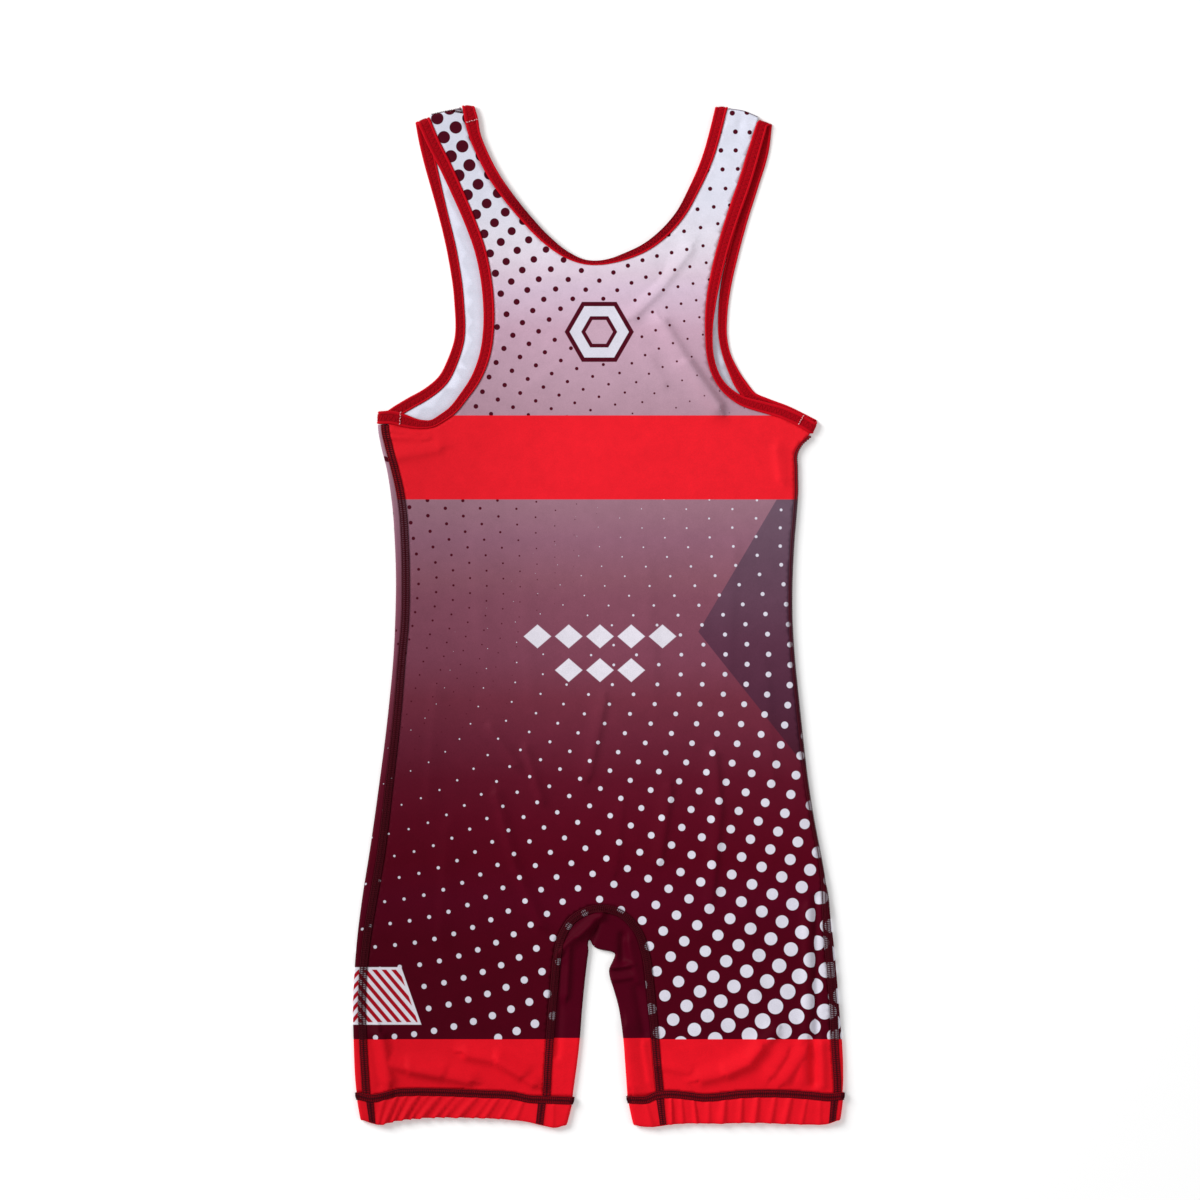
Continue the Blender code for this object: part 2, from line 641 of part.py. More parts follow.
def back_panel():
    half = SEAM_WIDTH / 2 + GAP
    edges = [
        side_edge(-1, lambda y: seam_inner(-1, y) + GAP, BACK_SIDE_TOP),
        hem_edge(*BACK_HEM_LEFT),
        gusset_line(half),
        hem_edge(*BACK_HEM_RIGHT),
        side_edge(1, lambda y: seam_inner(1, y) + FOLD_GAP, BACK_SIDE_TOP)[::-1],
        opening_edge(ARMHOLE_RIGHT_BACK, BACK_STEP, GAP),
        shoulder_edge(SHOULDER_RIGHT, STRAP_RIGHT, SHOULDER_FLAT)[::-1],
        opening_edge(NECK_BACK, BACK_STEP, -GAP)[::-1],
        shoulder_edge(SHOULDER_LEFT, STRAP_LEFT, SHOULDER_FLAT)[::-1],
        opening_edge(ARMHOLE_LEFT_BACK, BACK_STEP, -GAP)[::-1],
    ]
    wraps = {
        6: shoulder_wrap(STRAP_RIGHT, SHOULDER_FLAT, SHOULDER_SEAM_RIGHT + FOLD_GAP, 3),
        8: shoulder_wrap(STRAP_LEFT, SHOULDER_FLAT, SHOULDER_SEAM_LEFT + GAP, 1),
    }
    return panel("back_panel", edges, wraps, True, "printed_jersey")


def front_panel():
    half = SEAM_WIDTH / 2 + GAP
    right_start = BACK_OF_FOLD - RIGHT_TUCK
    left_hole = opening_edge(ARMHOLE_LEFT_FRONT, FRONT_STEP, GAP)
    right_hole = opening_edge(ARMHOLE_RIGHT_FRONT, FRONT_STEP, -GAP)
    edges = [
        side_edge(-1, lambda y: 0.0, UNDERARM_LEFT),
        hem_edge(*FRONT_HEM_LEFT),
        gusset_line(half),
        hem_edge(*FRONT_HEM_RIGHT),
        side_edge(1, lambda y: RIGHT_TUCK, FRONT_RIGHT_START)[::-1],
        [p for p in right_hole[::-1] if p[0] < FRONT_HOLE_RIGHT],
        shoulder_edge(SHOULDER_RIGHT, STRAP_RIGHT, SHOULDER_BACK)[::-1],
        opening_edge(NECK_FRONT, FRONT_STEP, GAP),
        shoulder_edge(SHOULDER_LEFT, STRAP_LEFT, SHOULDER_BACK)[::-1],
        [p for p in left_hole if p[0] > FRONT_HOLE_LEFT],
    ]
    past = BACK_OF_FOLD - SHOULDER_BACK
    end_of_seam = SHOULDER_SEAM_WIDTH + FOLD_GAP
    wraps = {
        0: side_wrap(-1, BACK_OF_FOLD),
        4: side_wrap(1, right_start),
        6: shoulder_wrap(STRAP_RIGHT, past, SHOULDER_SEAM_RIGHT - end_of_seam, 1),
        8: shoulder_wrap(STRAP_LEFT, past, SHOULDER_SEAM_LEFT - end_of_seam, 3),
    }
    return panel("front_panel", edges, wraps, False, "printed_jersey")


def ring_normals(line, hand):
    """Unit vectors across the line, to its left if hand is 1."""
    along = np.gradient(np.array(line)[:, :2], axis=0)
    along /= np.linalg.norm(along, axis=1)[:, None]
    return hand * np.stack([-along[:, 1], along[:, 0]], axis=1)


def binding_row(point, across, normal, width, roll, columns):
    """One section of a binding, from its panel to its free edge, rolling over at the free edge."""
    start = point + across * ROLL_GAP * roll
    width -= ROLL_GAP * roll
    return [start + across * width * math.sin(t) - normal * roll * (1 - math.cos(t))
            for t in np.linspace(0.0, math.pi / 2, columns)]


def binding(name, back, front, first_way, last_way, hand, columns=3):
    """A binding loop: along the back edge, over a fold, along the front edge and over the other fold.

    first_way is the way that the cloth points at the fold where the back edge ends, last_way where it
    starts, and hand says on which side of the back edge the opening lies.
    """
    back, front = spline(back, BACK_STEP), spline(front, FRONT_STEP)
    back_across = ring_normals(back, hand)
    front_across = ring_normals(front, -hand)
    up, down = Vector((0, 0, 1)), Vector((0, 0, -1))
    rows = []

    def flat(line, across, top):
        for (x, y, width, roll), side_way in zip(line, across):
            z = height(x, y) + BINDING_RISE if top else 0.0
            normal = up if top else down
            rows.append(binding_row(Vector((x, y, z)), Vector((*side_way, 0)), normal, width, roll,
                                    columns))

    def fold(top_row, top_across, low_row, low_across, way, sinking):
        tall = height(top_row[0], top_row[1]) + BINDING_RISE
        reach = FOLD + BINDING_RISE / 2
        turns = np.linspace(0.0, math.pi, FOLD_STEPS + 2)[1:-1]
        for turn in turns if sinking else turns[::-1]:
            mix = turn / math.pi
            x, y, width, roll = top_row * (1 - mix) + low_row * mix
            across = Vector((*(top_across * (1 - mix) + low_across * mix), 0)).normalized()
            point = Vector((x + way[0] * reach * math.sin(turn), y + way[1] * reach * math.sin(turn),
                            tall / 2 * (1 + math.cos(turn))))
            normal = Vector((way[0] * math.sin(turn), way[1] * math.sin(turn), math.cos(turn)))
            rows.append(binding_row(point, across, normal, width, roll, columns))

    flat(back, back_across, True)
    fold(back[-1], back_across[-1], front[0], front_across[0], first_way, True)
    flat(front, front_across, False)
    fold(back[0], back_across[0], front[-1], front_across[-1], last_way, False)
    return strip(name, rows, True, BINDING, "red_binding")


def side_seam(name, hand, start):
    """The seam from the underarm to the hem: on the top layer, or round the fold."""
    columns = 2 if hand < 0 else 6
    levels = side_levels(start, hem_top(LEFT_FOOT if hand < 0 else RIGHT_FOOT))
    rows = []
    for y in levels:
        inner = seam_inner(hand, y)
        rows.append([side_point(hand, y, s, SEAM_RISE)
                     for s in np.linspace(inner - SEAM_WIDTH, inner, columns)])
    for point in rows[-1]:
        point.y = hem_top(point.x)
    return strip(name, rows, False, SEAM, "seam_thread")


def gusset_seam(name, top):
    """The seam between the gusset and one panel: on the top layer, or flat on the bottom one."""
    line = spline(GUSSET, GUSSET_STEP)[:, :2]
    rows = []
    for end, (x, y), across in zip(range(len(line)), line, ring_normals(line, 1)):
        row = []
        for d in (SEAM_WIDTH / 2, -SEAM_WIDTH / 2):
            px, py = x + across[0] * d, y + across[1] * d
            if end in (0, len(line) - 1):
                py = hem_top(px)
            row.append(Vector((px, py, height(px, py) + SEAM_RISE if top else 0.0)))
        rows.append(row)
    if top:
        return strip(name, rows, False, SEAM, "seam_thread")
    return strip_below(name, rows, SEAM, "seam_thread")


def strip_below(name, rows, wall, material):
    """A flat strip on the bottom layer, whose outer face looks down."""
    bm = bmesh.new()
    fill_grid(bm, [[bm.verts.new(p) for p in row] for row in rows], False)
    bm.normal_update()
    bm.faces.ensure_lookup_table()
    return new_object(name, finish_mesh(name, bm, bm.faces[0].normal.z > 0), wall, material)


def crotch_gusset():
    """The gusset, from its back seam across the top, round the crotch fold and along the bottom."""
    table = spline(GUSSET, GUSSET_STEP)
    across = ring_normals(table, -1)
    inset = SEAM_WIDTH / 2 + GAP
    rows = []
    last = len(table) - 1
    for k, (row, inward) in enumerate(zip(table, across)):
        seam = row[:2] + inward * inset
        edge = row[2:]
        way = (edge - seam) / np.linalg.norm(edge - seam)
        tangent = edge - way * FOLD
        width = float(np.linalg.norm(tangent - seam))
        stops = list(np.linspace(width, 0.0, 4))
        stops += list(np.linspace(0.0, BACK_OF_FOLD, FOLD_STEPS + 1)[1:])
        stops.append(BACK_OF_FOLD - width)
        points = [fold_point(tuple(tangent), tuple(way), s, 0.0) for s in stops]
        if k in (0, last):
            for point in points:
                point.y = hem_top(point.x)
        rows.append(points)
    return strip("crotch_gusset", rows, False, CLOTH, "plain_jersey")


def leg_ring(name, table, start, stop, columns, rise, wall, gather_lean, material):
    """A band right round a leg, between two distances down from the cover seam's centre.

    stop is None for a band that runs down to the gathered lower edge of the leg.
    """
    table = np.array(table, float)
    gathered = gather_lean is not None
    top_rows = spline(table, GATHER_STEP if gathered else HEM_STEP)
    low_rows = spline(table, HEM_STEP * 2)[::-1]
    outward = ((-1.0, 0.0), (1.0, 0.0))

    def stations(row):
        seam, edge = row[:2], row[2:]
        length = float(np.linalg.norm(edge - seam))
        far = length if stop is None else stop
        return [seam + (edge - seam) * d / length for d in np.linspace(start, far, columns)]

    rows = []
    for row in top_rows:
        points = []
        across = (row[0] - table[0, 0]) / (table[-1, 0] - table[0, 0])
        for t, (x, y) in zip(np.linspace(0.0, 1.0, columns), stations(row)):
            z = height(x, y) + rise
            if gathered:
                wave = math.cos(2 * math.pi * (across * GATHERS + gather_lean * t))
                ends = min(1.0, GATHER_FADE * across, GATHER_FADE * (1 - across))
                z += GATHER_DEPTH * ends * (GATHER_AT_SEAM + (1 - GATHER_AT_SEAM) * t) * wave
                y -= SCALLOP * ends * t * wave
            points.append(Vector((x, y, z)))
        rows.append(points)
    turns = np.linspace(0.0, BACK_OF_FOLD, FOLD_STEPS + 2)[1:-1]
    rows += [[fold_point(tuple(p), outward[1], s, rise) for p in stations(table[-1])] for s in turns]
    rows += [[Vector((x, y, 0.0)) for x, y in stations(row)] for row in low_rows]
    rows += [[fold_point(tuple(p), outward[0], s, rise) for p in stations(table[0])]
             for s in turns[::-1]]
    return strip(name, rows, True, wall, material)


def leg_hem(hand, table, lean):
    """The gathered hem band of one leg, and the cover seam above it."""
    half = SEAM_WIDTH / 2
    leg_ring("hem_band_" + hand, table, half + HEM_GAP, None, 3, HEM_RISE, HEM, lean, "red_jersey")
    leg_ring("hem_seam_" + hand, table, -half, half, 2, HEM_SEAM_RISE, HEM, None, "seam_thread")


def shoulder_seam(name, folds, span, strap, start):
    """The short seam over the fold at the top of a strap."""
    line = spline(folds, SHOULDER_SEAM_STEP)[:, :2]
    low, high = span
    rows = []
    for x, y in line[(line[:, 0] > low) & (line[:, 0] < high)]:
        tangent = (x - strap[0] * FOLD, y - strap[1] * FOLD)
        rows.append([fold_point(tangent, strap, s, SEAM_RISE / 2)
                     for s in np.linspace(start, start - SHOULDER_SEAM_WIDTH, 6)])
    return strip(name, rows, False, CLOTH + SEAM_RISE / 2, "seam_thread")


def make_materials():
    for name, (colour, roughness) in MATERIALS.items():
        material = bpy.data.materials.new(name)
        material.use_nodes = True
        shader = material.node_tree.nodes["Principled BSDF"]
        shader.inputs["Base Color"].default_value = (*colour, 1.0)
        shader.inputs["Roughness"].default_value = roughness
        shader.inputs["Metallic"].default_value = 0.0
        material.diffuse_color = (*colour, 1.0)


def centre_on_floor(objects):
    """Moves the whole garment so that its box is centred over the origin."""
    corners = np.array([vertex.co[:2] for obj in objects for vertex in obj.data.vertices])
    middle = (corners.min(axis=0) + corners.max(axis=0)) / 2
    for obj in objects:
        for vertex in obj.data.vertices:
            vertex.co.x -= middle[0]
            vertex.co.y -= middle[1]


def build():
    for obj in list(bpy.data.objects):
        bpy.data.objects.remove(obj, do_unlink=True)
    collection = bpy.data.collections.new(COLLECTION)
    bpy.context.scene.collection.children.link(collection)
    make_materials()
    back_panel()
    front_panel()
    crotch_gusset()
    binding("neck_binding", NECK_BACK, NECK_FRONT, STRAP_RIGHT, STRAP_LEFT, 1)
    binding("armhole_binding_left", ARMHOLE_LEFT_BACK, ARMHOLE_LEFT_FRONT, STRAP_LEFT, SIDE_LEFT, 1)
    binding("armhole_binding_right", ARMHOLE_RIGHT_BACK, ARMHOLE_RIGHT_FRONT, STRAP_RIGHT, SIDE_RIGHT,
            -1)
    side_seam("side_seam_left", -1, UNDERARM_LEFT)
    side_seam("side_seam_right", 1, UNDERARM_RIGHT)
    gusset_seam("gusset_seam_back", True)
    gusset_seam("gusset_seam_front", False)
    leg_hem("left", HEM_LEFT, GATHER_LEAN_LEFT)
    leg_hem("right", HEM_RIGHT, GATHER_LEAN_RIGHT)
    shoulder_seam("shoulder_seam_left", SHOULDER_LEFT, SHOULDER_SPAN_LEFT, STRAP_LEFT,
                  SHOULDER_SEAM_LEFT)
    shoulder_seam("shoulder_seam_right", SHOULDER_RIGHT, SHOULDER_SPAN_RIGHT, STRAP_RIGHT,
                  SHOULDER_SEAM_RIGHT)
    centre_on_floor(collection.objects)


build()
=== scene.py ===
"""Looks of the wrestling singlet: printed stretch jersey, knit bindings, flatlock seams and gathered hems.

Tables are in millimetres in the garment's own layout: X across, Y up to the shoulders, Z up. The back
panel is the top layer and the front panel the bottom one. Everything is moved by CENTRE and scaled to
metres when its mesh is made, which puts it where the CAD pieces are.
"""
import math
from functools import partialmethod

import bmesh
import bpy
import numpy as np
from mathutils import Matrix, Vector
from mathutils.geometry import delaunay_2d_cdt


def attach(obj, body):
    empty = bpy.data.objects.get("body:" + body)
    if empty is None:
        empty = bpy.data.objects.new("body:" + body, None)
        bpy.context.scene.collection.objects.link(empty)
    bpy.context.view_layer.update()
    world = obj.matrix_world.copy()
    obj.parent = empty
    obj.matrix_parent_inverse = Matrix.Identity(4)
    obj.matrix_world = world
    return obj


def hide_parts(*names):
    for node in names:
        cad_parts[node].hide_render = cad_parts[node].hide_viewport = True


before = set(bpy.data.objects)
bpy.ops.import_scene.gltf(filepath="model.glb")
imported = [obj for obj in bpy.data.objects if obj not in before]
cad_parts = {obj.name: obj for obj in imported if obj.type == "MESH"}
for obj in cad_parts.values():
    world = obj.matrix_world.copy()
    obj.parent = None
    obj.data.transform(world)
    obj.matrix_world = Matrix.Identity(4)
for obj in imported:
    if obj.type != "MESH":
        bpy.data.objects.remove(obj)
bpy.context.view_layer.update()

MM = 0.001
TINY = 1e-9
CENTRE = (0.50, -1.51)   # middle of the garment's box in the tables' layout

# Heights and walls
CLOTH = 0.9              # wall of the panels
TOP = 4.0                # outer face of the top layer
FOLD = TOP / 2           # radius of the folds at the sides, the shoulders and the crotch
BACK_OF_FOLD = -math.pi * FOLD
BINDING_RISE = 0.6       # how far outer faces lie above those of the panels
SEAM_RISE = 0.4
HEM_RISE = 0.8
HEM_SEAM_RISE = 1.0
GAP = -0.12              # between a seam or binding and its panels, which run on just under its edges
SEAM_WIDTH = 6.4
BINDING_WALL = 1.2
BINDING_CORNER = 0.8     # how far a binding's free edge is rounded off where it folds over

# Mesh spacing
TOP_SPACING = 3.1
FINE_SPACING = 1.6
FINE_CREASE = 0.5        # creases higher or deeper than this are meshed at the fine spacing
LEGS = -334.0            # height below which all of the top layer is
BOTTOM_SPACING = 9.0
EDGE_CLEARANCE = 0.35    # share of a panel's spacing that its edge keeps clear of the points inside
OUTLINE_TOLERANCE = 1e-5
CURVE_STEP = 2.0
EDGE_STEP = 3.0
GUSSET_STEP = 1.6
GUSSET_STRIPS = (16, 3)  # strips across the gusset, on its top and under it
FOLD_STEPS = 12
LEG_FOLD_STEPS = 9
BINDING_STEP = 2.5
SEAM_STEP = 2.0
HEM_STEP = 0.8
BAND_STRIPS = 12         # strips across a band for which its surface is worked out

# Side folds: height up the garment, both outer edges, and how far in from each fold the inner edge of
# its side seam lies (0 is where the top layer starts to turn down)
SIDES = (
    # y, left edge, right edge, left seam, right seam
    (160, -176.8, 172, 6.9, 0.3),
    (142.8, -175.2, 170.4, 7, 0.3),
    (137.2, -174, 164, 7.2, 0.3),
    (131.6, -172.8, 160.2, 7.4, 0.3),
    (115.6, -168.8, 159.2, 7.7, 0.3),
    (99.6, -166.2, 159.4, 8.8, 0.3),
    (83.6, -164.2, 158.4, 9.2, 0.3),
    (59.6, -162.6, 156.4, 9.2, 0.3),
    (27.6, -161.6, 154.8, 9, 0.3),
    (-4.4, -162.2, 154.8, 9, 0.3),
    (-36.4, -163.8, 156.8, 7.8, 0.3),
    (-68.4, -166.8, 160, 8.3, 0.3),
    (-100.4, -170.4, 163.4, 8.8, 0.3),
    (-132.4, -174.6, 167.2, 9.2, 0.3),
    (-164.4, -179, 172.2, 10, 0.3),
    (-196.4, -183.8, 178.4, 10.6, 0.3),
    (-212.4, -186.4, 181.4, 10.4, 1.2),
    (-228.4, -188.8, 184, 10, 3.2),
    (-260.4, -192.8, 188.2, 8.8, 5.6),
    (-292.4, -195.2, 191.2, 8.2, 5.8),
    (-316.4, -196, 193, 8.4, 5.8),
    (-344.4, -195.4, 195.4, 8.9, 7.2),
    (-376.4, -193.8, 196, 9.2, 5.8),
    (-401.2, -190.4, 193.6, 7.4, 3.4),
)
SIDE_Y, LEFT_EDGE, RIGHT_EDGE, LEFT_SEAM, RIGHT_SEAM = range(5)
UNDERARM_LEFT = 151.6    # where the side seams start, just below the armhole bindings
UNDERARM_RIGHT = 142.6
FRONT_RIGHT_START = 146.2

# Bindings: the line where each binding meets its panel, how wide the binding lies, and its roll
ARMHOLE_LEFT_BACK = (
    # x, y, width, roll
    (-174, 152.2, 10.4, 0.4),
    (-165, 152, 11, 0.4),
    (-156, 149.8, 10.6, 0.4),
    (-142, 148.4, 7.6, 0.6),
    (-132.8, 149.4, 6.4, 0.6),
    (-122.4, 154.8, 6.6, 0.6),
    (-114, 160.8, 7, 0.6),
    (-104.6, 172, 7.4, 0.5),
    (-94, 187, 8.2, 0.4),
    (-86.4, 206, 8.8, 0.4),
    (-83, 230, 8.9, 0.4),
    (-83.6, 256.4, 9, 0.4),
    (-89.6, 291.6, 9.2, 0.4),
    (-98.4, 317, 9.4, 0.4),
    (-107.2, 338, 9.8, 0.4),
    (-117.6, 361, 10.2, 0.4),
    (-127.2, 380, 10.4, 0.4),
    (-133.6, 395.4, 10.8, 0.4),
)
ARMHOLE_LEFT_FRONT = (
    (-134.2, 395.2, 12, 0),
    (-132.4, 381.6, 11.4, 0),
    (-129.6, 364.4, 10.2, 0),
    (-125.6, 345.6, 9, 0),
    (-121.4, 327, 8, 0),
    (-112, 286.8, 8, 0),
    (-107.2, 251.6, 7.9, 0),
    (-107.4, 216.4, 8.2, 0),
    (-111.2, 203.6, 8.6, 0),
    (-120.8, 184.4, 9, 0),
    (-136, 171.6, 9.2, 0),
    (-147.2, 165.2, 9.4, 0),
    (-157, 159.4, 9.4, 0),
    (-165, 154, 9.8, 0),
    (-174, 152.4, 10.2, 0),
)
ARMHOLE_RIGHT_BACK = (
    (169, 144.8, 10, 0.4),
    (157.6, 151.6, 9.8, 0.4),
    (145.6, 157, 9.6, 0.4),
    (133.6, 160.6, 9.2, 0.4),
    (122.4, 163.8, 8.8, 0.5),
    (113.2, 167.4, 8, 0.6),
    (103.6, 174.2, 7, 0.6),
    (96.2, 182.4, 6.2, 0.6),
    (91, 192, 5.8, 0.7),
    (87.4, 204.6, 5.6, 0.7),
    (85.8, 223.6, 6, 0.6),
    (86.6, 251.6, 8.4, 0.4),
    (90.4, 274, 9.2, 0.4),
    (96.8, 299.6, 9.6, 0.4),
    (104.8, 325.2, 10.2, 0.4),
    (112.2, 346.6, 10.4, 0.4),
    (119.6, 370.4, 10, 0.4),
    (127, 393.2, 8.8, 0.4),
)
ARMHOLE_RIGHT_FRONT = (
    (129.2, 393, 10.2, 0),
    (126.8, 372, 10, 0),
    (119.2, 345, 9.6, 0),
    (111.2, 319, 9.4, 0),
    (103.2, 288, 9, 0),
    (97.8, 262, 8.6, 0),
    (96, 240, 7.6, 0),
    (96.4, 222, 7, 0),
    (99.6, 206.8, 6.8, 0),
    (104.4, 193.4, 8.2, 0),
    (110.4, 180.4, 10.2, 0),
    (120, 169.6, 9.8, 0),
    (134, 163.4, 9.6, 0),
    (148.5, 158, 9.6, 0),
    (160, 152.2, 9.8, 0),
    (169.6, 146.6, 10.4, 0),
)
NECK_BACK = (
    (-108.2, 404.6, 9.8, 0.4),
    (-106.8, 395.6, 11, 0.4),
    (-103.4, 382.8, 9.8, 0.4),
    (-96, 365.2, 9.2, 0.4),
    (-86.6, 347.6, 9, 0.4),
    (-76, 332.4, 8.8, 0.5),
    (-62.4, 316.1, 8.2, 0.8),
    (-42, 295.7, 7, 1.6),
    (-25.6, 284.8, 5.2, 2.6),
    (-10.4, 279.9, 3.4, 3.4),
    (0, 279.4, 3.2, 3.4),
    (11.2, 280.8, 3.8, 3),
    (23.3, 283.9, 5.4, 2.4),
    (39.7, 290.8, 6.6, 1.6),
    (56, 303, 7.4, 1),
    (68.4, 317, 7.8, 0.6),
    (80.4, 338, 8.4, 0.4),
    (92, 363.6, 9.2, 0.4),
    (99.6, 389.2, 9.6, 0.4),
    (103.2, 403.4, 9.8, 0.4),
)
NECK_FRONT = (
    (103.6, 403, 9.6, 0),
    (101.6, 371.6, 9.6, 0),
    (89.6, 331.6, 9.6, 0),
    (65.6, 291.6, 9.6, 0),
    (25.6, 258, 9.6, 0),
    (0, 251.6, 9.6, 0),
    (-25.6, 258, 9.6, 0),
    (-65.6, 291.6, 9.6, 0),
    (-91.2, 331.6, 9.6, 0),
    (-104.8, 371.6, 9.6, 0),
    (-108.4, 404.2, 9.6, 0),
)

# Shoulder folds between the bindings, the way each strap points there, and how far before the fold
# its seam starts, at places across the strap
SHOULDER_LEFT = ((-142.0, 397.6), (-134.0, 399.4), (-122.0, 402.0), (-112.0, 404.2), (-100.0, 407.4))
SHOULDER_RIGHT = ((98.0, 405.0), (106.4, 403.8), (115.2, 402.6), (123.2, 399.6), (129.6, 396.6),
                  (138.0, 392.6))
STRAP_LEFT = (-0.250, 0.968)
STRAP_RIGHT = (0.284, 0.959)
SHOULDER_SEAM_LEFT = ((-142.0, -3.0), (-118.0, -2.6), (-112.0, 0.8), (-104.0, 4.0))
SHOULDER_SEAM_RIGHT = ((98.0, -3.4), (138.0, -3.4))
SHOULDER_SPAN_LEFT = (-133.6, -109.0)    # x at which each seam starts and ends, at the bindings
SHOULDER_SPAN_RIGHT = (104.2, 128.0)
SHOULDER_SEAM_WIDTH = 5.0
SHOULDER_STEP = 0.5
SHOULDER_FLAT = 5.0      # how far before a shoulder fold the back panel's flat part ends
SHOULDER_BACK = 2.4      # how far past the fold the front panel's flat part ends
BACK_WRAP_STEPS = 9      # strips that carry a panel on round a shoulder fold
FRONT_WRAP_STEPS = (8, 2)        # the same on the left and the right of the front panel
LEFT_FOOT = -186.0       # where the side seams meet the hem seams
RIGHT_FOOT = 190.0
SIDE_LEFT = (-1.0, 0.0)
SIDE_RIGHT = (0.87, -0.49)

# Gusset: the centre of its seam, and the edge where it turns under at the legs and the crotch
GUSSET = (
    # seam x, seam y, edge x, edge y
    (-41.2, -384, -20.2, -384),
    (-40, -360.4, -16.8, -359.6),
    (-38.6, -340.4, -14.6, -340.4),
    (-36.6, -314.8, -12.6, -314.8),
    (-34.6, -292.4, -10.4, -292.4),
    (-32.8, -274, -8.6, -277),
    (-28.8, -257.2, -7.6, -269),
    (-21.6, -245.2, -7.9, -264),
    (-12, -238.4, -7.4, -261),
    (-1.6, -235.2, -6, -261),
    (9.6, -236, -4.2, -264.4),
    (19.2, -239.6, -0.8, -267.2),
    (27.2, -246.8, 4.8, -268.6),
    (33.2, -255.6, 11, -269.8),
    (36.4, -265.2, 13.6, -272),
    (38.8, -274.8, 12, -276.6),
    (40.4, -286, 9, -283.4),
    (41.8, -298.8, 9.6, -290.6),
    (43.2, -313.2, 12.6, -300),
    (44.8, -328.4, 16.8, -315.6),
    (46, -344.4, 20, -338),
    (47.6, -362.8, 21.8, -361.2),
    (49.4, -382, 23.4, -384),
)
SEAM_X, SEAM_Y = range(2)

# Leg hems: the centre of the cover seam, and the gathered lower edge, between the side folds
HEM_LEFT = (
    (-190.8, -385.2, -187.4, -404.6),
    (-182.4, -387.1, -180, -407.1),
    (-169.6, -384.8, -171.2, -407.6),
    (-162.4, -382.8, -164, -405.6),
    (-148, -381.8, -152, -403.8),
    (-126.4, -382, -132, -402.4),
    (-105.6, -382.8, -112, -402.4),
    (-87.2, -383.6, -92, -402.8),
    (-67.2, -384.8, -72, -404),
    (-55.2, -387.4, -57.6, -405.6),
    (-41.6, -388, -44, -408.8),
    (-30.4, -388.4, -33.6, -410.4),
    (-22.4, -388.8, -27.6, -408.8),
)
HEM_RIGHT = (
    (26.2, -388, 30.8, -408.6),
    (32, -388.2, 36, -409.6),
    (38.4, -388.1, 42.4, -409.8),
    (46, -384.8, 49.6, -409.2),
    (56, -383.6, 57.6, -408),
    (70.4, -384.7, 71.2, -407),
    (85.6, -386.4, 86.4, -407),
    (97.6, -385.5, 98.4, -407.1),
    (112, -383.8, 112.8, -406.6),
    (127.2, -383, 127.2, -406.5),
    (147.2, -383.1, 147.2, -407.2),
    (169.6, -384.6, 168, -407.9),
    (185.6, -386, 184, -407.4),
    (194, -385.2, 191.2, -404.8),
)

# Gathers of the hems: how far along the hem, how far it leans by the lower edge, depth and half-width
GATHERS_LEFT = (
    # across, lean, depth, half-width
    (0.120, -0.030, 1.8, 0.016),
    (0.180, -0.052, 3.2, 0.013),
    (0.226, -0.056, 2.4, 0.009),
    (0.284, -0.060, 3.4, 0.014),
    (0.330, -0.058, 1.8, 0.008),
    (0.388, -0.066, 3, 0.015),
    (0.452, -0.060, 2.2, 0.010),
    (0.500, -0.058, 1.6, 0.009),
    (0.562, -0.056, 2.6, 0.014),
    (0.622, -0.046, 1.4, 0.009),
    (0.664, -0.042, 2, 0.012),
    (0.726, -0.030, 1.3, 0.009),
    (0.780, -0.020, 1.5, 0.012),
    (0.925, 0.010, 0.9, 0.014),
)
GATHERS_RIGHT = (
    (0.070, 0.010, 1.2, 0.016),
    (0.192, -0.004, 3, 0.008),
    (0.240, 0.004, 1.7, 0.012),
    (0.300, 0.010, 2.6, 0.009),
    (0.372, -0.006, 1.4, 0.014),
    (0.448, -0.016, 3, 0.018),
    (0.530, -0.012, 2.4, 0.014),
    (0.606, -0.016, 3.2, 0.017),
    (0.690, -0.024, 2.2, 0.013),
    (0.764, -0.030, 2.8, 0.017),
    (0.840, -0.018, 1.5, 0.011),
    (0.905, 0.004, 1, 0.012),
)

GATHER_FLANKS = (1.25, 0.72)     # width of a gather's left and right flank, as shares of its half-width
GATHER_SPREAD = (0.75, 0.4)      # what the half-width is multiplied by: start and growth down the hem
GATHER_SWELL = (0.45, 0.6, -0.35)    # the same for the depth, with its bend
GATHER_ENDS = 14                 # at each end the gathers fade out over one part in this many
SCALLOP = 0.14           # how far a gather pushes the lower edge down, for each millimetre of its depth

# The seams' last stretches, over the hem bands
HEM_LINES = (
    # name, hem, place across the hem
    ("side_seam_left_foot", "left", 0.048),
    ("gusset_seam_left_foot", "left", 0.868),
    ("gusset_seam_right_foot", "right", 0.137),
    ("side_seam_right_foot", "right", 0.972),
)
FOOT_HALF = 0.019        # half-width, as a share of the hem's length
FOOT_END = 0.97          # how far down the hem they end
FOOT_LENGTH = 20.0
FOOT_RISE = 0.35
FOOT_GRID = 1.0          # spacing of the hem's points that they are laid on

# Tacks: rows of dashes in pale thread that hold the ends of the bindings
TACKS = (
    # name, x0, y0, x1, y1
    ("tack_armhole_left", -157.8, 162.4, -158.6, 151.4),
    ("tack_armhole_right", 164.6, 159.4, 160.2, 151.6),
    ("tack_neck_left", -105.6, 393.4, -95.6, 396.2),
)
TACK_DASHES = 5
TACK_DASH = (0.1, 0.85)  # where a dash starts and ends in its share of the row
TACK_ASKEW = 0.035
TACK_RISE = 0.55
TACK_RADIUS = 0.36
TACK_BOW = 0.3
TACK_FACES = 5

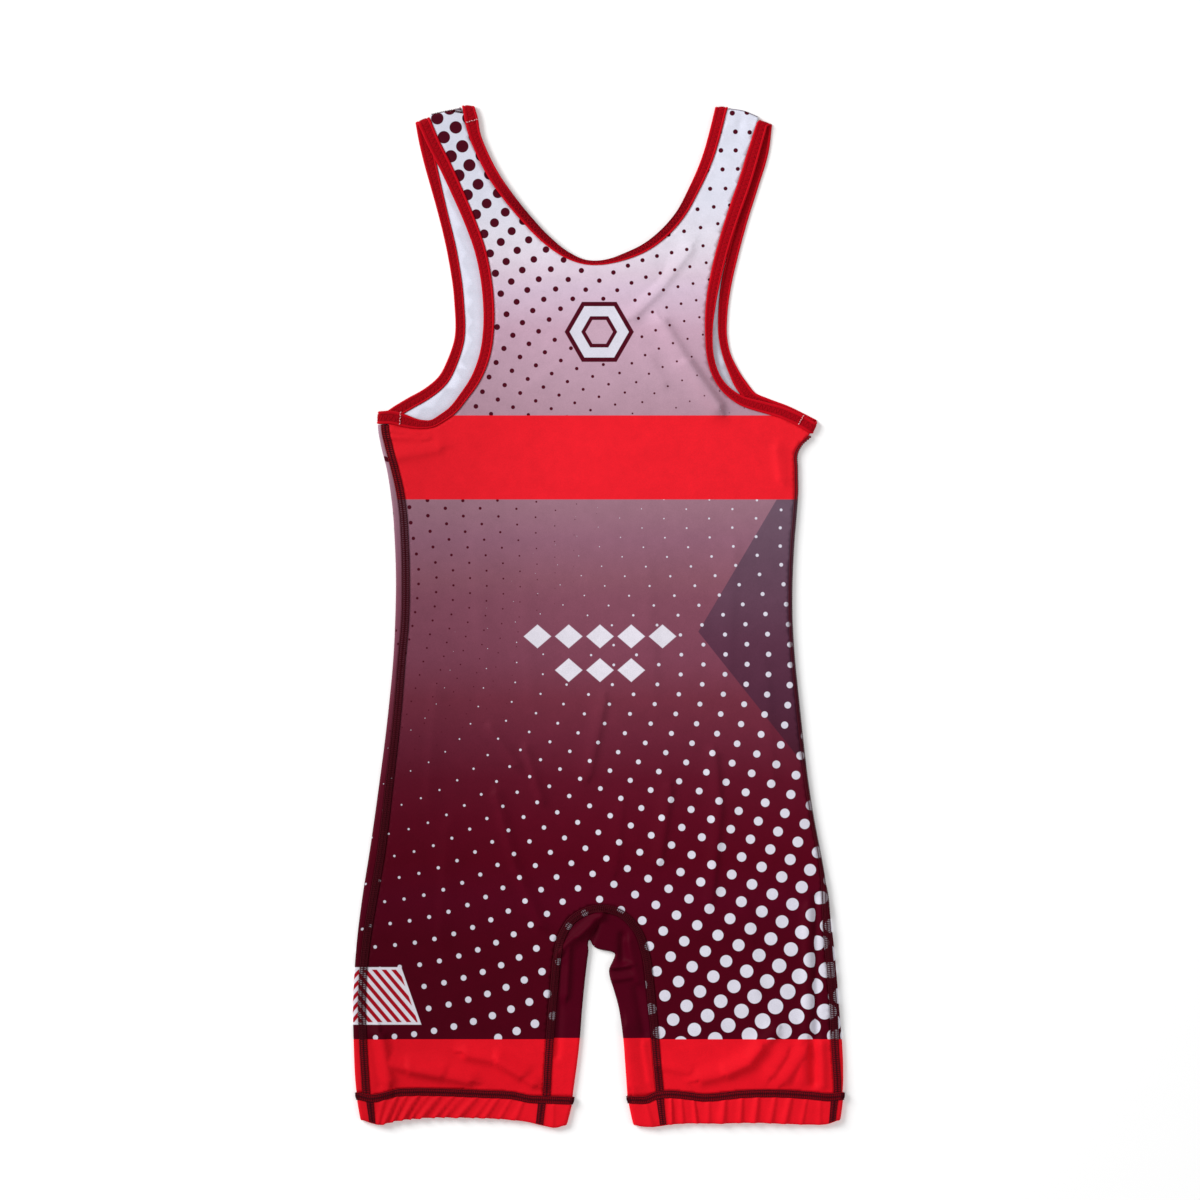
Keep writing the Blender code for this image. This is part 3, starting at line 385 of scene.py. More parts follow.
# Folds and creases of the top layer: a ridge (or a trough, below 0) along each short line. A positive
# lean makes the flank on the left of the line's direction wider and the other one steeper.
CREASES = (
    # x0, y0, x1, y1, height, half-width, lean
    (-34, 276, 34, 277, 1.8, 20, 0),
    (52, 233, 72, 201, 3.4, 6.5, -0.25),
    (72, 201, 96.4, 167, 5.4, 6.5, -0.3),
    (28, 238, 50, 260, 1.9, 6, 0.35),
    (50, 260, 74, 292, 1.7, 6, 0.35),
    (40, 206, 52, 186, 1, 6, -0.3),
    (114.6, 400, 112.4, 384, -0.6, 2.4, 0),
    (-86, -92, -66, -120, 1.7, 4, 0.4),
    (-58, -108, -46, -148, 1.8, 4, 0.4),
    (-82, -144, -66, -204, 2, 4.5, 0.4),
    (-66, -204, -46, -248, 2, 4.5, 0.4),
    (5.6, -68, -6.4, -128, 1.5, 5, -0.4),
    (94, -112, 98, -156, 1.8, 5, -0.4),
    (98, -156, 91, -228, 1.8, 5, -0.4),
    (58, -140, 50, -196, 1.7, 5, -0.4),
    (174, -226, 174.4, -336, -2.4, 2.8, 0),
    (167, -236, 166.6, -332, 1.8, 5, 0.3),
    (171.4, -338, 172.6, -374, -2.6, 3.4, 0),
    (163, -344, 163.6, -372, 1.6, 5, 0),
    (179, -344, 180, -376, 1.8, 3.6, 0),
    (-172, -359, -150, -364, 3.6, 6, 0.35),
    (-150, -364, -126, -368.4, 5.2, 6.5, 0.35),
    (-126, -368.4, -104, -373, 3.8, 6, 0.35),
    (-104, -352, -80, -357.4, 3.6, 6.5, 0.35),
    (-80, -357.4, -62, -368, 5.4, 6.5, 0.35),
    (-62, -368, -52, -375, 3.8, 5.5, 0.35),
    (-173, -338, -167, -372, 4, 7, -0.35),
    (-180, -340, -174, -376, -1.6, 3.6, 0),
    (84, -372, 104, -367, 3.2, 6.5, 0.35),
    (104, -367, 121, -359, 4.8, 6.5, 0.35),
    (121, -359, 130.6, -347, 4.6, 6, 0.35),
    (130.6, -347, 142, -334, 2.8, 5.5, 0.3),
    (150, -372, 166, -350, 2.6, 6, 0.35),
    (140, -368, 150, -352, 2, 5, 0.4),
    (52, -362, 72, -366, 1.4, 5, 0.4),
    (36, -344, 41, -374, 1.6, 3.6, 0.3),
    (22, -330, 27, -376, 2.8, 6.5, 0.4),
    (-16, -258, 3, -241, 4.2, 3.4, 0.35),
    (-5.4, -260, -0.6, -246, -2.6, 2.6, 0),
    (-17, -256, -31, -269, 3.4, 3.2, 0.4),
    (19.4, -257, 19.6, -278, -2.6, 3.2, 0),
    (12, -282.6, 29, -280, 3.2, 2.6, 0.4),
    (8, -293, 28, -290, 2.2, 3, 0.4),
    (24, -262, 31, -292, 2.4, 4, 0.4),
    (-23, -266, -25, -304, 2.6, 4, -0.4),
    (-29, -280, -33, -352, -1.8, 3.2, 0),
    (31, -300, 37, -334, -1.6, 3.4, 0),
    (-160, 126, -128, 132, 1.6, 6, 0.3),
    (-166, 146.6, -144, 143, 1.3, 1.9, 0.3),
    (-165, 141, -136, 140, 1.4, 2.4, 0.4),
    (143, 132, 146, 108, 1.5, 5, 0.3),
    (-60, 20, -54, -70, 0.5, 6, 0.4),
    (-100, 60, -92, -40, 0.5, 7, 0.4),
    (40, 40, 46, -60, 0.5, 7, -0.4),
    (110, 60, 104, -50, 0.5, 6, -0.4),
    (-130, -60, -136, -150, 0.7, 6, 0.4),
    (134, -40, 140, -130, 0.7, 6, -0.4),
    (-120, -170, -126, -260, 0.7, 7, 0.4),
    (20, -150, 14, -205, 0.8, 5, -0.4),
    (120, -230, 128, -310, 0.7, 7, -0.4),
    (-30, 200, -60, 178, 0.5, 6, 0.3),
    (0, 130, 60, 126, 0.4, 7, 0.3),
    (-80, 110, -20, 104, 0.4, 7, 0.3),
)
PLEAT_X = 173.4          # the pleat on the right leg, and the heights that it runs between
PLEAT_TOP = -226.0
PLEAT_BOTTOM = -336.0
PLEAT_HIDDEN = 3.6       # cloth that the pleat hides
PLEAT_HALF = 0.7
PLEAT_STEP = 2.0
PLEAT_CLEARANCE = 2.2
PLEAT_FADE = 24.0        # the hidden cloth runs out over this length at each end,
PLEAT_FADE_ABOVE = 8.0   # which starts this far above the pleat
PLEAT_FADE_BELOW = 20.0  # and ends this far below it

# Panels: where their flat outlines end, just past the edges of their neighbours
SIDE_BOTTOM = -393.0
BACK_SIDE_TOP = 160.0
BACK_HEMS = ((-188.0, -30.0), (36.0, 194.0))     # spans along the left and the right hem
FRONT_HEMS = ((-194.0, -30.0), (36.0, 196.0))
FRONT_ARMHOLES = (-171.0, 161.0)                 # x at which the left and the right armhole end
FRONT_TUCK = 2.5         # how far in from the right fold the front panel's flat part ends
GUSSET_OVERRUN = 8.0
OPENING_OVERRUN = 5.0

# Halftone print: places of some of its dots, numbered along the lattice's two directions
WHITE_DOTS = (
    # along, across, x, y
    (-5, -12, 21.4, 30.6),
    (-1, -15, 90.8, 46.4),
    (2, -16, 146.5, 39.8),
    (-5, -10, 28.2, -0.6),
    (-1, -12, 100, -0.2),
    (2, -13, 152.2, -7.9),
    (-8, -4, -27.6, -71.6),
    (-5, -6, 28.4, -63.8),
    (-1, -8, 100.2, -63.7),
    (2, -10, 153.3, -56.4),
    (-10, 0, -88.2, -112.4),
    (-7, -1, -30.4, -123.6),
    (-4, -3, 32.3, -117.8),
    (-1, -5, 91.4, -110.8),
    (3, -7, 161.9, -112.8),
    (-9, 6, -151.4, -171.6),
    (-8, 4, -102.6, -171.6),
    (-5, 2, -26.8, -178.6),
    (-3, 0, 26.2, -168.7),
    (1, -2, 106.1, -171.6),
    (4, -4, 165.2, -167.4),
    (-6, 10, -155.1, -227.5),
    (-6, 11, -170.6, -229.6),
    (-5, 12, -166.2, -247.1),
    (-4, 14, -178.2, -265.8),
    (-5, 7, -89.9, -225.9),
    (-3, 5, -28.3, -229.6),
    (-1, 3, 29.6, -223.9),
    (2, 1, 98.2, -221.7),
    (5, 0, 155.4, -231.6),
    (-3, 13, -142.6, -280),
    (-2, 11, -92.2, -285.8),
    (-1, 9, -44.8, -285.5),
    (2, 6, 46.8, -285.2),
    (4, 5, 92.1, -289.4),
    (7, 3, 161, -289.1),
    (0, 19, -177.9, -338.2),
    (0, 18, -162.8, -337.4),
    (0, 14, -99.7, -325.4),
    (1, 12, -50.5, -327.2),
    (4, 9, 48.8, -334.2),
    (6, 7, 104, -328.4),
    (8, 5, 158.7, -321.4),
)
DARK_DOTS = (
    (-3, 3, -102.7, 359.2),
    (-2, 2, -95.8, 343.9),
    (-1, 17, 107.4, 401),
    (0, 16, 109.9, 386),
    (0, 17, 121.3, 385.5),
    (1, 14, 98.3, 371.1),
    (1, 15, 110.1, 371.1),
    (2, 13, 99.6, 355.9),
    (3, 11, 89.7, 340.4),
    (3, 12, 102, 340.6),
    (0, -1, -91.1, 304.3),
    (2, 0, -55.4, 299.5),
    (6, 3, 35.6, 283.2),
    (6, 7, 84, 294.8),
    (6, 8, 99, 299.4),
    (3, -4, -77.7, 256.5),
    (4, -3, -56.5, 259.4),
    (6, -1, -9.8, 259.7),
    (8, 1, 41, 256.2),
    (8, 4, 76, 264.6),
    (5, -7, -75.2, 212.7),
    (6, -6, -55.2, 216.4),
    (7, -5, -34.6, 219.6),
    (10, -2, 35.1, 222.1),
    (11, 0, 71.6, 220.4),
    (5, -11, -97.6, 166.4),
    (8, -9, -49.8, 170.8),
    (10, -8, -18.6, 169.2),
    (13, -6, 35.4, 169.8),
    (4, -19, -136, 79),
    (3, -19, -150.8, 85.8),
    (6, -19, -106.2, 66.2),
    (7, -19, -91, 59.8),
    (8, -17, -79.6, 78.4),
    (8, -16, -80.4, 91.2),
    (4, -22, -130, 41.6),
    (3, -23, -143.4, 36.1),
)
LATTICE_UNIT = 100.0     # keeps the numbers that bend the lattice near 1
DOT_RADII = (
    # scale * exp(slope x * x + slope y * y) + level, up to the largest
    # scale, slope x, slope y, level, largest
    (3.01, 0.00225, -0.0023, -2.32, 6.2),        # white
    (0.88, -0.00411, 0.00396, -0.64, 5),       # dark
)
DARK_LOSS = 0.0045       # below the chest band's top the dark dots shrink by this for each millimetre
DARK_LOSS_START = -80.0  # to the right of this x

# Print: heights of its bands, and sRGB colours
CHEST_BAND = (92.0, 159.2)
LEG_BAND = -339.6
GRADIENT = (
    # y, colour
    (-340, "4c0013"),
    (-260, "4e0115"),
    (-228, "54031b"),
    (-196, "560318"),
    (-164, "5b081e"),
    (-132, "5f1226"),
    (-100, "692336"),
    (-68, "733041"),
    (-36, "7e4255"),
    (12, "854e60"),
    (28, "8a5666"),
    (60, "926376"),
    (84, "9a6f7f"),
    (168, "b691a2"),
    (188, "bd99ab"),
    (228, "c9a5b9"),
    (260, "d8c0d4"),
    (272, "dcc8d8"),
    (284, "e1d4e2"),
    (300, "e3dde9"),
    (330, "dfdfed"),
    (372, "dfe1f0"),
)
RED = "ee1f2c"
LEG_RED = "e91424"
DARK_DOT = "4d0a1c"
WHITE_DOT = "dcd9e6"
LINING = "e2e3f3"
GUSSET_MAROON = "4c0016"
GUSSET_BAND = -338.6     # top of the leg bands on the gusset
THREAD = "440814"
THREAD_LIGHT = "f0bcc2"
THREAD_COVER = 0.62      # share of a seam's strip that takes its thread's colour
HEM_THREAD_COVER = 0.66
BINDING_RED = "c80a1c"
BINDING_CENTRE = "aa0516"
# Painted shade on the neck binding's free edge where it rolls over
BINDING_ROLL_SHADE = "700210"
BINDING_THREAD = "b6081a"
BINDING_GROOVE = (0.22, 0.78, 0.06)      # where the groove between a binding's ribs starts and ends, blur
NECK_ROLL_SHADE = (0.340, 0.02)        # height, in metres, below which the neck binding's rolled free edge gets painted shade, and its blur
SIDE_SHADE = 0.22              # painted shade: how much darker the colour is made towards the left
SIDE_SHADE_PLACE = (-0.085, 0.10)      # where, in metres, and its blur
PRINT_BLUR = 0.22
CLEARANCE_BLUR = 0.01

# Emblems of plain shapes on the back
BADGE = (1.0, 226.0)
HEXAGON = (0.866, 0.5)   # the way square to its slanting sides
BADGE_RINGS = (
    # half-width, colour, from the outside in
    (24, DARK_DOT),
    (20.5, WHITE_DOT),
    (12.5, DARK_DOT),
    (9.5, "c8a6b8"),
)
BADGE_CLEARANCE = 25.5   # half-width within which there are no dark dots
LOZENGE_ROWS = (
    # centre x, centre y, how many
    (1.6, -17.5, 5),
    (1.6, -44.5, 3),
)
LOZENGE_PITCH = 25.0
LOZENGE_HALF = (11.0, 9.5)
LOZENGE_WHITE = "e4dfea"
LOZENGE_BLUR = 0.05
LOZENGE_CLEARANCE = 1.3  # size, as a multiple of a lozenge's, within which there are no white dots
TRIANGLE_SIDES = (
    # the triangle lies where slope x * x + slope y * y + level is below 0 for both
    (-0.78, -0.62, 54),
    (-0.86, 0.51, 76),
)
TRIANGLE_GRADIENT = (
    (-132, "451628"),
    (-108, "4c1e2f"),
    (-68, "542a3e"),
    (-24, "5c3448"),
    (12, "644255"),
    (44, "674a5c"),
    (84, "6f5667"),
)

# Striped block on the left thigh
BLOCK_Y = -305.0
BLOCK_HALF = 23.0
BLOCK_END = (0.35, 256.0)        # its right end is where x + slope * y + level is 0
BLOCK_BORDER = (2.0, 2.2)        # along its long sides and at that end
BLOCK_WHITE = "e9e4ee"
STRIPE_RED = "a90a1e"
STRIPE_SLOPES = (0.13, 0.11)     # stripes for each millimetre along x and along y
STRIPE_HALF = 0.25
STRIPE_BLUR = 0.03


def linear(colour):
    """An sRGB hex colour as linear RGBA."""
    values = [int(colour[i:i + 2], 16) / 255 for i in (0, 2, 4)]
    return (*[v / 12.92 if v <= 0.04045 else ((v + 0.055) / 1.055) ** 2.4 for v in values], 1.0)


# ---------------------------------------------------------------------------------------- forms

def spline(rows, step):
    """Points on a smooth curve through the rows, about step apart in their first two columns."""
    knots = np.array(rows, float)
    chords = np.hypot(np.diff(knots[:, 0]), np.diff(knots[:, 1]))
    along = np.concatenate([[0.0], np.cumsum(chords)])
    slopes = np.gradient(knots, along, axis=0)
    count = max(2, round(along[-1] / step) + 1)
    at = np.linspace(0.0, along[-1], count)
    i = np.clip(np.searchsorted(along, at, side="right") - 1, 0, len(along) - 2)
    span = (along[i + 1] - along[i])[:, None]
    u = (at - along[i])[:, None] / span
    start = knots[i] * (1 + 2 * u) * (1 - u) ** 2 + slopes[i] * span * u * (1 - u) ** 2
    end = knots[i + 1] * u * u * (3 - 2 * u) + slopes[i + 1] * span * u * u * (u - 1)
    return start + end


SIDE_CURVE = spline(SIDES, CURVE_STEP)[::-1]
HEM_CURVE = np.concatenate([spline(HEM_LEFT, CURVE_STEP), spline(HEM_RIGHT, CURVE_STEP)])


def outer_edge(hand, y):
    """Where the garment's side lies at heights y. Hand is -1 on the left and 1 on the right."""
    return np.interp(y, SIDE_CURVE[:, SIDE_Y], SIDE_CURVE[:, LEFT_EDGE if hand < 0 else RIGHT_EDGE])


def seam_inner(hand, y):
    """How far in from a side fold the inner edge of its seam lies at heights y."""
    return np.interp(y, SIDE_CURVE[:, SIDE_Y], SIDE_CURVE[:, LEFT_SEAM if hand < 0 else RIGHT_SEAM])


def hem_top(x):
    """Height up the garment at which the panels end, just above the hem's cover seam."""
    return np.interp(x, HEM_CURVE[:, SEAM_X], HEM_CURVE[:, SEAM_Y]) + SEAM_WIDTH / 2 + GAP


def ripple(x, y):
    """Slow unevenness of cloth that lies loose on a floor."""
    wave = 0.22 * np.sin(x / 31.0 + 1.3 * np.sin(y / 83.0)) * np.sin(y / 97.0 + 0.6)
    wave += 0.14 * np.sin(x / 17.0 + y / 61.0 + 0.8 * np.sin(y / 37.0))
    return wave + 0.08 * np.sin(y / 23.0 - x / 29.0) * np.sin(x / 11.0 + 0.4)


def creased(x, y):
    """How far the creases lift the top layer: the highest ridge and the deepest trough at each place."""
    ridge, trough = np.zeros(x.shape), np.zeros(x.shape)
    for x0, y0, x1, y1, rise, width, lean in CREASES:
        dx, dy = x1 - x0, y1 - y0
        t = ((x - x0) * dx + (y - y0) * dy) / (dx * dx + dy * dy)
        inside = np.clip(t, 0.0, 1.0)
        left = np.sign(dx * (y - y0) - dy * (x - x0))
        away = np.hypot(x - x0 - inside * dx, y - y0 - inside * dy) / (width * (1 + lean * left))
        lift = rise * np.exp(-away ** 2)
        ridge, trough = np.maximum(ridge, lift), np.minimum(trough, lift)
    return ridge, trough


def height(x, y):
    """Heights of the top layer's outer face."""
    x, y = np.asarray(x, float), np.asarray(y, float)
    ridge, trough = creased(x, y)
    return TOP + ridge + trough + ripple(x, y)


def fold_points(tangent, outward, s, rise=0.0):
    """Points on a fold: s before (+) or past (-) the line where the top layer starts to turn under."""
    tangent, outward, s = np.broadcast_arrays(*np.atleast_2d(tangent, outward), np.asarray(s)[..., None])
    x, y, s = tangent[..., 0], tangent[..., 1], s[..., 0]
    before = np.maximum(s, 0.0)
    turn = np.clip(-s / FOLD, 0.0, math.pi)
    back = np.maximum(-s + BACK_OF_FOLD, 0.0)
    px, py = x - outward[..., 0] * before, y - outward[..., 1] * before
    tall = height(px, py) + rise
    reach = (FOLD + rise / 2) * np.sin(turn) - back
    z = tall * (1 + np.cos(turn)) / 2
    return np.stack([px + outward[..., 0] * reach, py + outward[..., 1] * reach, z], axis=-1)


def side_points(hand, y, s, rise=0.0):
    """Points near a side fold. Hand is -1 on the left and 1 on the right."""
    y, s = np.broadcast_arrays(y, s)
    tangent = np.stack([outer_edge(hand, y) - hand * FOLD, y], axis=-1)
    return fold_points(tangent, np.broadcast_to((float(hand), 0.0), tangent.shape), s, rise)


def extended(line, length):
    """The line, carried on straight by a length at each end."""
    line = np.array(line, float)[:, :2]
    first = (line[0] - line[1]) / np.linalg.norm(line[0] - line[1])
    last = (line[-1] - line[-2]) / np.linalg.norm(line[-1] - line[-2])
    return np.vstack([line[0] + length * first, line, line[-1] + length * last])


def across_line(line, hand=1):
    """Unit vectors across the line, to its left if hand is 1."""
    along = np.gradient(np.array(line)[:, :2], axis=0)
    along /= np.linalg.norm(along, axis=1)[:, None]
    return hand * np.stack([-along[:, 1], along[:, 0]], axis=1)


def offset(line, distance):
    """The line moved to its left by distance."""
    return np.array(line, float)[:, :2] + distance * across_line(line)


def crossing(a, b, c, d):
    """Where segments ab and cd cross, or None."""
    r, s = b - a, d - c
    area = r[0] * s[1] - r[1] * s[0]
    if abs(area) < TINY:
        return None
    t = ((c - a)[0] * s[1] - (c - a)[1] * s[0]) / area
    u = ((c - a)[0] * r[1] - (c - a)[1] * r[0]) / area
    return a + t * r if 0 <= t <= 1 and 0 <= u <= 1 else None


def trim(first, second):
    """Two lines cut back to where the first one's end crosses the second one's start."""
    for i in range(len(first) - 2, -1, -1):
        for j in range(len(second) - 1):
            point = crossing(first[i], first[i + 1], second[j], second[j + 1])
            if point is not None:
                return np.vstack([first[:i + 1], point]), np.vstack([point, second[j + 1:]])
    return first, second


def closed_outline(edges):
    """The edges of a closed outline, each trimmed where it meets the next."""
    edges = [np.array(edge, float)[:, :2] for edge in edges]
    for i in range(len(edges)):
        following = (i + 1) % len(edges)
        edges[i], edges[following] = trim(edges[i], edges[following])
    return edges


def inside(points, outline):
    """Which points lie inside the closed outline."""
    result = np.zeros(len(points), bool)
    for a, b in zip(outline, np.roll(outline, -1, axis=0)):
        if a[1] != b[1]:
            spans = (a[1] > points[:, 1]) != (b[1] > points[:, 1])
            x = a[0] + (points[:, 1] - a[1]) * (b[0] - a[0]) / (b[1] - a[1])
            result ^= spans & (points[:, 0] < x)
    return result


def clear_of(points, outline, distance):
    """Which points lie at least distance from the outline."""
    away = np.full(len(points), np.inf)
    for a, b in zip(outline, np.roll(outline, -1, axis=0)):
        run = b - a
        t = np.clip(((points - a) @ run) / max(run @ run, TINY), 0, 1)
        away = np.minimum(away, np.linalg.norm(points - a - t[:, None] * run, axis=1))
    return away > distance


def lattice(outline, spacing):
    """A staggered lattice of points over the outline's box."""
    low, high = outline.min(axis=0), outline.max(axis=0)
    rows = []
    row_step = spacing * math.sqrt(3) / 2
    for k, y in enumerate(np.arange(low[1] + row_step / 2, high[1], row_step)):
        row = np.arange(low[0] + spacing / 2 * (k % 2), high[0], spacing)
        rows.append(np.stack([row, np.full(len(row), y)], axis=1))
    return np.vstack(rows)


# ---------------------------------------------------------------------------------------- print

def dot_lattice(dots):
    """A function from places to lattice numbers: a thin plate bent through the dots' places."""
    table = np.array(dots, float)
    knots = table[:, 2:] / LATTICE_UNIT

    def terms(x, y):
        place = np.stack([x, y], axis=-1) / LATTICE_UNIT
        square = ((place[:, None, :] - knots[None, :, :]) ** 2).sum(axis=-1)
        return np.hstack([square * np.log(square + TINY), place, np.ones((len(place), 1))])

    here = terms(table[:, 2], table[:, 3])
    flat = here[:, -3:]
    system = np.block([[here[:, :-3], flat], [flat.T, np.zeros((3, 3))]])
    weights = np.linalg.solve(system, np.vstack([table[:, :2], np.zeros((3, 2))]))
    return lambda x, y: terms(x, y) @ weights


LATTICES = {"white": dot_lattice(WHITE_DOTS), "dark": dot_lattice(DARK_DOTS)}


def dot_sizes(x, y):
    """Radius of the white and of the dark dots."""
    white, dark = [scale * np.exp(slope_x * x + slope_y * y) + level
                   for scale, slope_x, slope_y, level, _ in DOT_RADII]
    dark -= DARK_LOSS * np.maximum(x - DARK_LOSS_START, 0.0) * (y < CHEST_BAND[1])
    return np.minimum(white, DOT_RADII[0][-1]), np.minimum(dark, DOT_RADII[1][-1])


def set_vectors(mesh, name, *columns):
    """Gives each vertex three numbers, from as many columns."""
    values = np.stack(columns, axis=1).astype(np.float32)
    mesh.attributes.new(name, "FLOAT_VECTOR", "POINT").data.foreach_set("vector", values.ravel())


def set_print(mesh, places):
    """Gives each vertex its place on the print, and the dot lattices' numbers and steps there."""
    x, y = places[:, 0], places[:, 1]
    zero = np.zeros(len(x))
    set_vectors(mesh, "print_place", x, y, zero)
    set_vectors(mesh, "dot_sizes", *dot_sizes(x, y), zero)
    for name, numbers in LATTICES.items():
        here = numbers(x, y)
        slope_x = (numbers(x + 1.0, y) - numbers(x - 1.0, y)) / 2
        slope_y = (numbers(x, y + 1.0) - numbers(x, y - 1.0)) / 2
        steps = np.linalg.pinv(np.stack([slope_x, slope_y], axis=-1))
        for k in range(2):
            set_vectors(mesh, f"{name}_{k}", steps[:, 0, k], steps[:, 1, k], here[:, k])


def add_node(tree, kind, inputs, **settings):
    """A shader node. Each input, by name or number, is given a value, or linked to a field or socket."""
    node = tree.nodes.new("ShaderNode" + kind)
    for name, value in settings.items():
        setattr(node, name, value)
    for slot, value in inputs.items():
        value = value.socket if isinstance(value, Field) else value
        if isinstance(value, bpy.types.NodeSocket):
            tree.links.new(value, node.inputs[slot])
        else:
            node.inputs[slot].default_value = value
    return node


class Field:
    """A shader number that can be reckoned with: each operation adds a Math node."""

    def __init__(self, tree, socket):
        self.tree = tree
        self.socket = socket

    def math(self, operation, *others):
        node = add_node(self.tree, "Math", dict(enumerate((self, *others))), operation=operation)
        return Field(self.tree, node.outputs[0])

    __add__ = partialmethod(math, "ADD")
    __sub__ = partialmethod(math, "SUBTRACT")
    __mul__ = partialmethod(math, "MULTIPLY")
    __neg__ = partialmethod(math, "MULTIPLY", -1.0)
    __abs__ = partialmethod(math, "ABSOLUTE")
    low = partialmethod(math, "MINIMUM")
    high = partialmethod(math, "MAXIMUM")
    nearest = partialmethod(math, "ROUND")

    def below(self, edge, blur=PRINT_BLUR):
        """1 where this is below edge, 0 above it, with a soft step between."""
        inputs = {"Value": self - edge, "From Min": -blur, "From Max": blur, "To Min": 1.0, "To Max": 0.0}
        node = add_node(self.tree, "MapRange", inputs, interpolation_type="SMOOTHSTEP")
        return Field(self.tree, node.outputs["Result"])


def split(tree, socket):
    """The three numbers of a vector."""
    return [Field(tree, output) for output in add_node(tree, "SeparateXYZ", {0: socket}).outputs]


def attribute(tree, name):
    """The three numbers of a vertex attribute."""
    return split(tree, add_node(tree, "Attribute", {}, attribute_name=name).outputs["Vector"])


def own_place(tree):
    """The place in the piece's own space, in metres."""
    return add_node(tree, "TexCoord", {}).outputs["Object"]


def texture(tree, kind, scale, **settings):
    """A procedural texture in the piece's own space."""
    inputs = {"Scale": scale, **settings, "Vector": own_place(tree)}
    return Field(tree, add_node(tree, "Tex" + kind, inputs).outputs["Fac"])


MIX_UNDER, MIX_OVER, MIX_RESULT = 6, 7, 2        # the colour sockets of a Mix node


def painted(tree, under, over, mask):
    """The colour over laid on the colour under where the mask is 1. Each is a socket or RGBA."""
    inputs = {"Factor": mask, MIX_UNDER: under, MIX_OVER: over}
    return add_node(tree, "Mix", inputs, data_type="RGBA").outputs[MIX_RESULT]


def ramp(tree, field, stops):
    """A colour ramp over a field, from the first stop to the last."""
    low, high = stops[0][0], stops[-1][0]
    node = add_node(tree, "ValToRGB", {"Fac": (field - low) * (1.0 / (high - low))})
    while len(node.color_ramp.elements) < len(stops):
        node.color_ramp.elements.new(1.0)
    for element, (at, colour) in zip(node.color_ramp.elements, stops):
        element.position = (at - low) / (high - low)
        element.color = linear(colour)
    return node.outputs["Color"]


def dot_mask(tree, name, radius, clearance):
    """1 inside the dots of one lattice, but for those whose centre has a clearance below 0."""
    ax, ay, u = attribute(tree, name + "_0")
    bx, by, v = attribute(tree, name + "_1")
    du, dv = u - u.nearest(), v - v.nearest()
    dx, dy = ax * du + bx * dv, ay * du + by * dv
    away = (dx * dx + dy * dy).math("SQRT")
    mask = (away - radius).below(0.0)
    if clearance:
        x, y, _ = attribute(tree, "print_place")
        mask = mask * (-clearance(x - dx, y - dy)).below(0.0, CLEARANCE_BLUR)
    return mask


def badge(x, y):
    """Distance from the centre of the hexagon on the upper back, measured square to its sides."""
    dx, dy = abs(x - BADGE[0]), abs(y - BADGE[1])
    return (dx * HEXAGON[0] + dy * HEXAGON[1]).high(dy)


def lozenges(x, y):
    """Distance from the centre of the nearest of the lozenges on the lower back, 1 at their edges."""
    nearest = None
    for centre_x, centre_y, count in LOZENGE_ROWS:
        along = (x - centre_x) * (1.0 / LOZENGE_PITCH)
        number = along.nearest().low((count - 1) / 2).high((1 - count) / 2)
        dx = abs(along - number) * (LOZENGE_PITCH / LOZENGE_HALF[0])
        away = dx + abs(y - centre_y) * (1.0 / LOZENGE_HALF[1])
        nearest = away if nearest is None else nearest.low(away)
    return nearest


def triangle(x, y):
    """1 inside the triangle at the right side, which ends below the chest band."""
    first, second = [x * slope_x + y * slope_y + level for slope_x, slope_y, level in TRIANGLE_SIDES]
    return first.high(second).below(0.0) * y.below(CHEST_BAND[0])


def with_emblems(tree, x, y, colour):
    """The colour, with the hexagon, the lozenges and the chest band laid on it."""
    for half, tone in BADGE_RINGS:
        colour = painted(tree, colour, linear(tone), badge(x, y).below(half))
    colour = painted(tree, colour, linear(LOZENGE_WHITE), lozenges(x, y).below(1.0, LOZENGE_BLUR))
    band_bottom, band_top = CHEST_BAND
    chest_band = abs(y - (band_bottom + band_top) / 2).below((band_top - band_bottom) / 2)
    return painted(tree, colour, linear(RED), chest_band)


def with_striped_block(tree, x, y, colour):
    """The colour, with a block of slanting red and white stripes laid on it on the left thigh."""
    away = abs(y - BLOCK_Y)
    end = x + y * BLOCK_END[0] + BLOCK_END[1]
    block = (away - BLOCK_HALF).high(end).below(0.0)
    inner = (away - (BLOCK_HALF - BLOCK_BORDER[0])).high(end + BLOCK_BORDER[1]).below(0.0)
    phase = (x * STRIPE_SLOPES[0] + y * STRIPE_SLOPES[1]).math("FRACT")
    stripes = abs(phase - 0.5).below(STRIPE_HALF, STRIPE_BLUR)
    colour = painted(tree, colour, linear(BLOCK_WHITE), block)
    return painted(tree, colour, linear(STRIPE_RED), inner * stripes)


def print_colour(tree, back):
    """Colour of the printed jersey. Only the back has the chest band and the emblems."""
    x, y, _ = attribute(tree, "print_place")
    white, dark, _ = attribute(tree, "dot_sizes")
    colour = ramp(tree, y, GRADIENT)
    if back:
        colour = painted(tree, colour, ramp(tree, y, TRIANGLE_GRADIENT), triangle(x, y))
    off_badge = back and (lambda x, y: badge(x, y) - BADGE_CLEARANCE)
    off_lozenges = back and (lambda x, y: lozenges(x, y) - LOZENGE_CLEARANCE)
    colour = painted(tree, colour, linear(DARK_DOT), dot_mask(tree, "dark", dark, off_badge))
    colour = painted(tree, colour, linear(WHITE_DOT), dot_mask(tree, "white", white, off_lozenges))
    if back:
        colour = with_emblems(tree, x, y, colour)
    colour = with_striped_block(tree, x, y, colour)
    return painted(tree, colour, linear(LEG_RED), y.below(LEG_BAND))


# ------------------------------------------------------------------------------------ materials

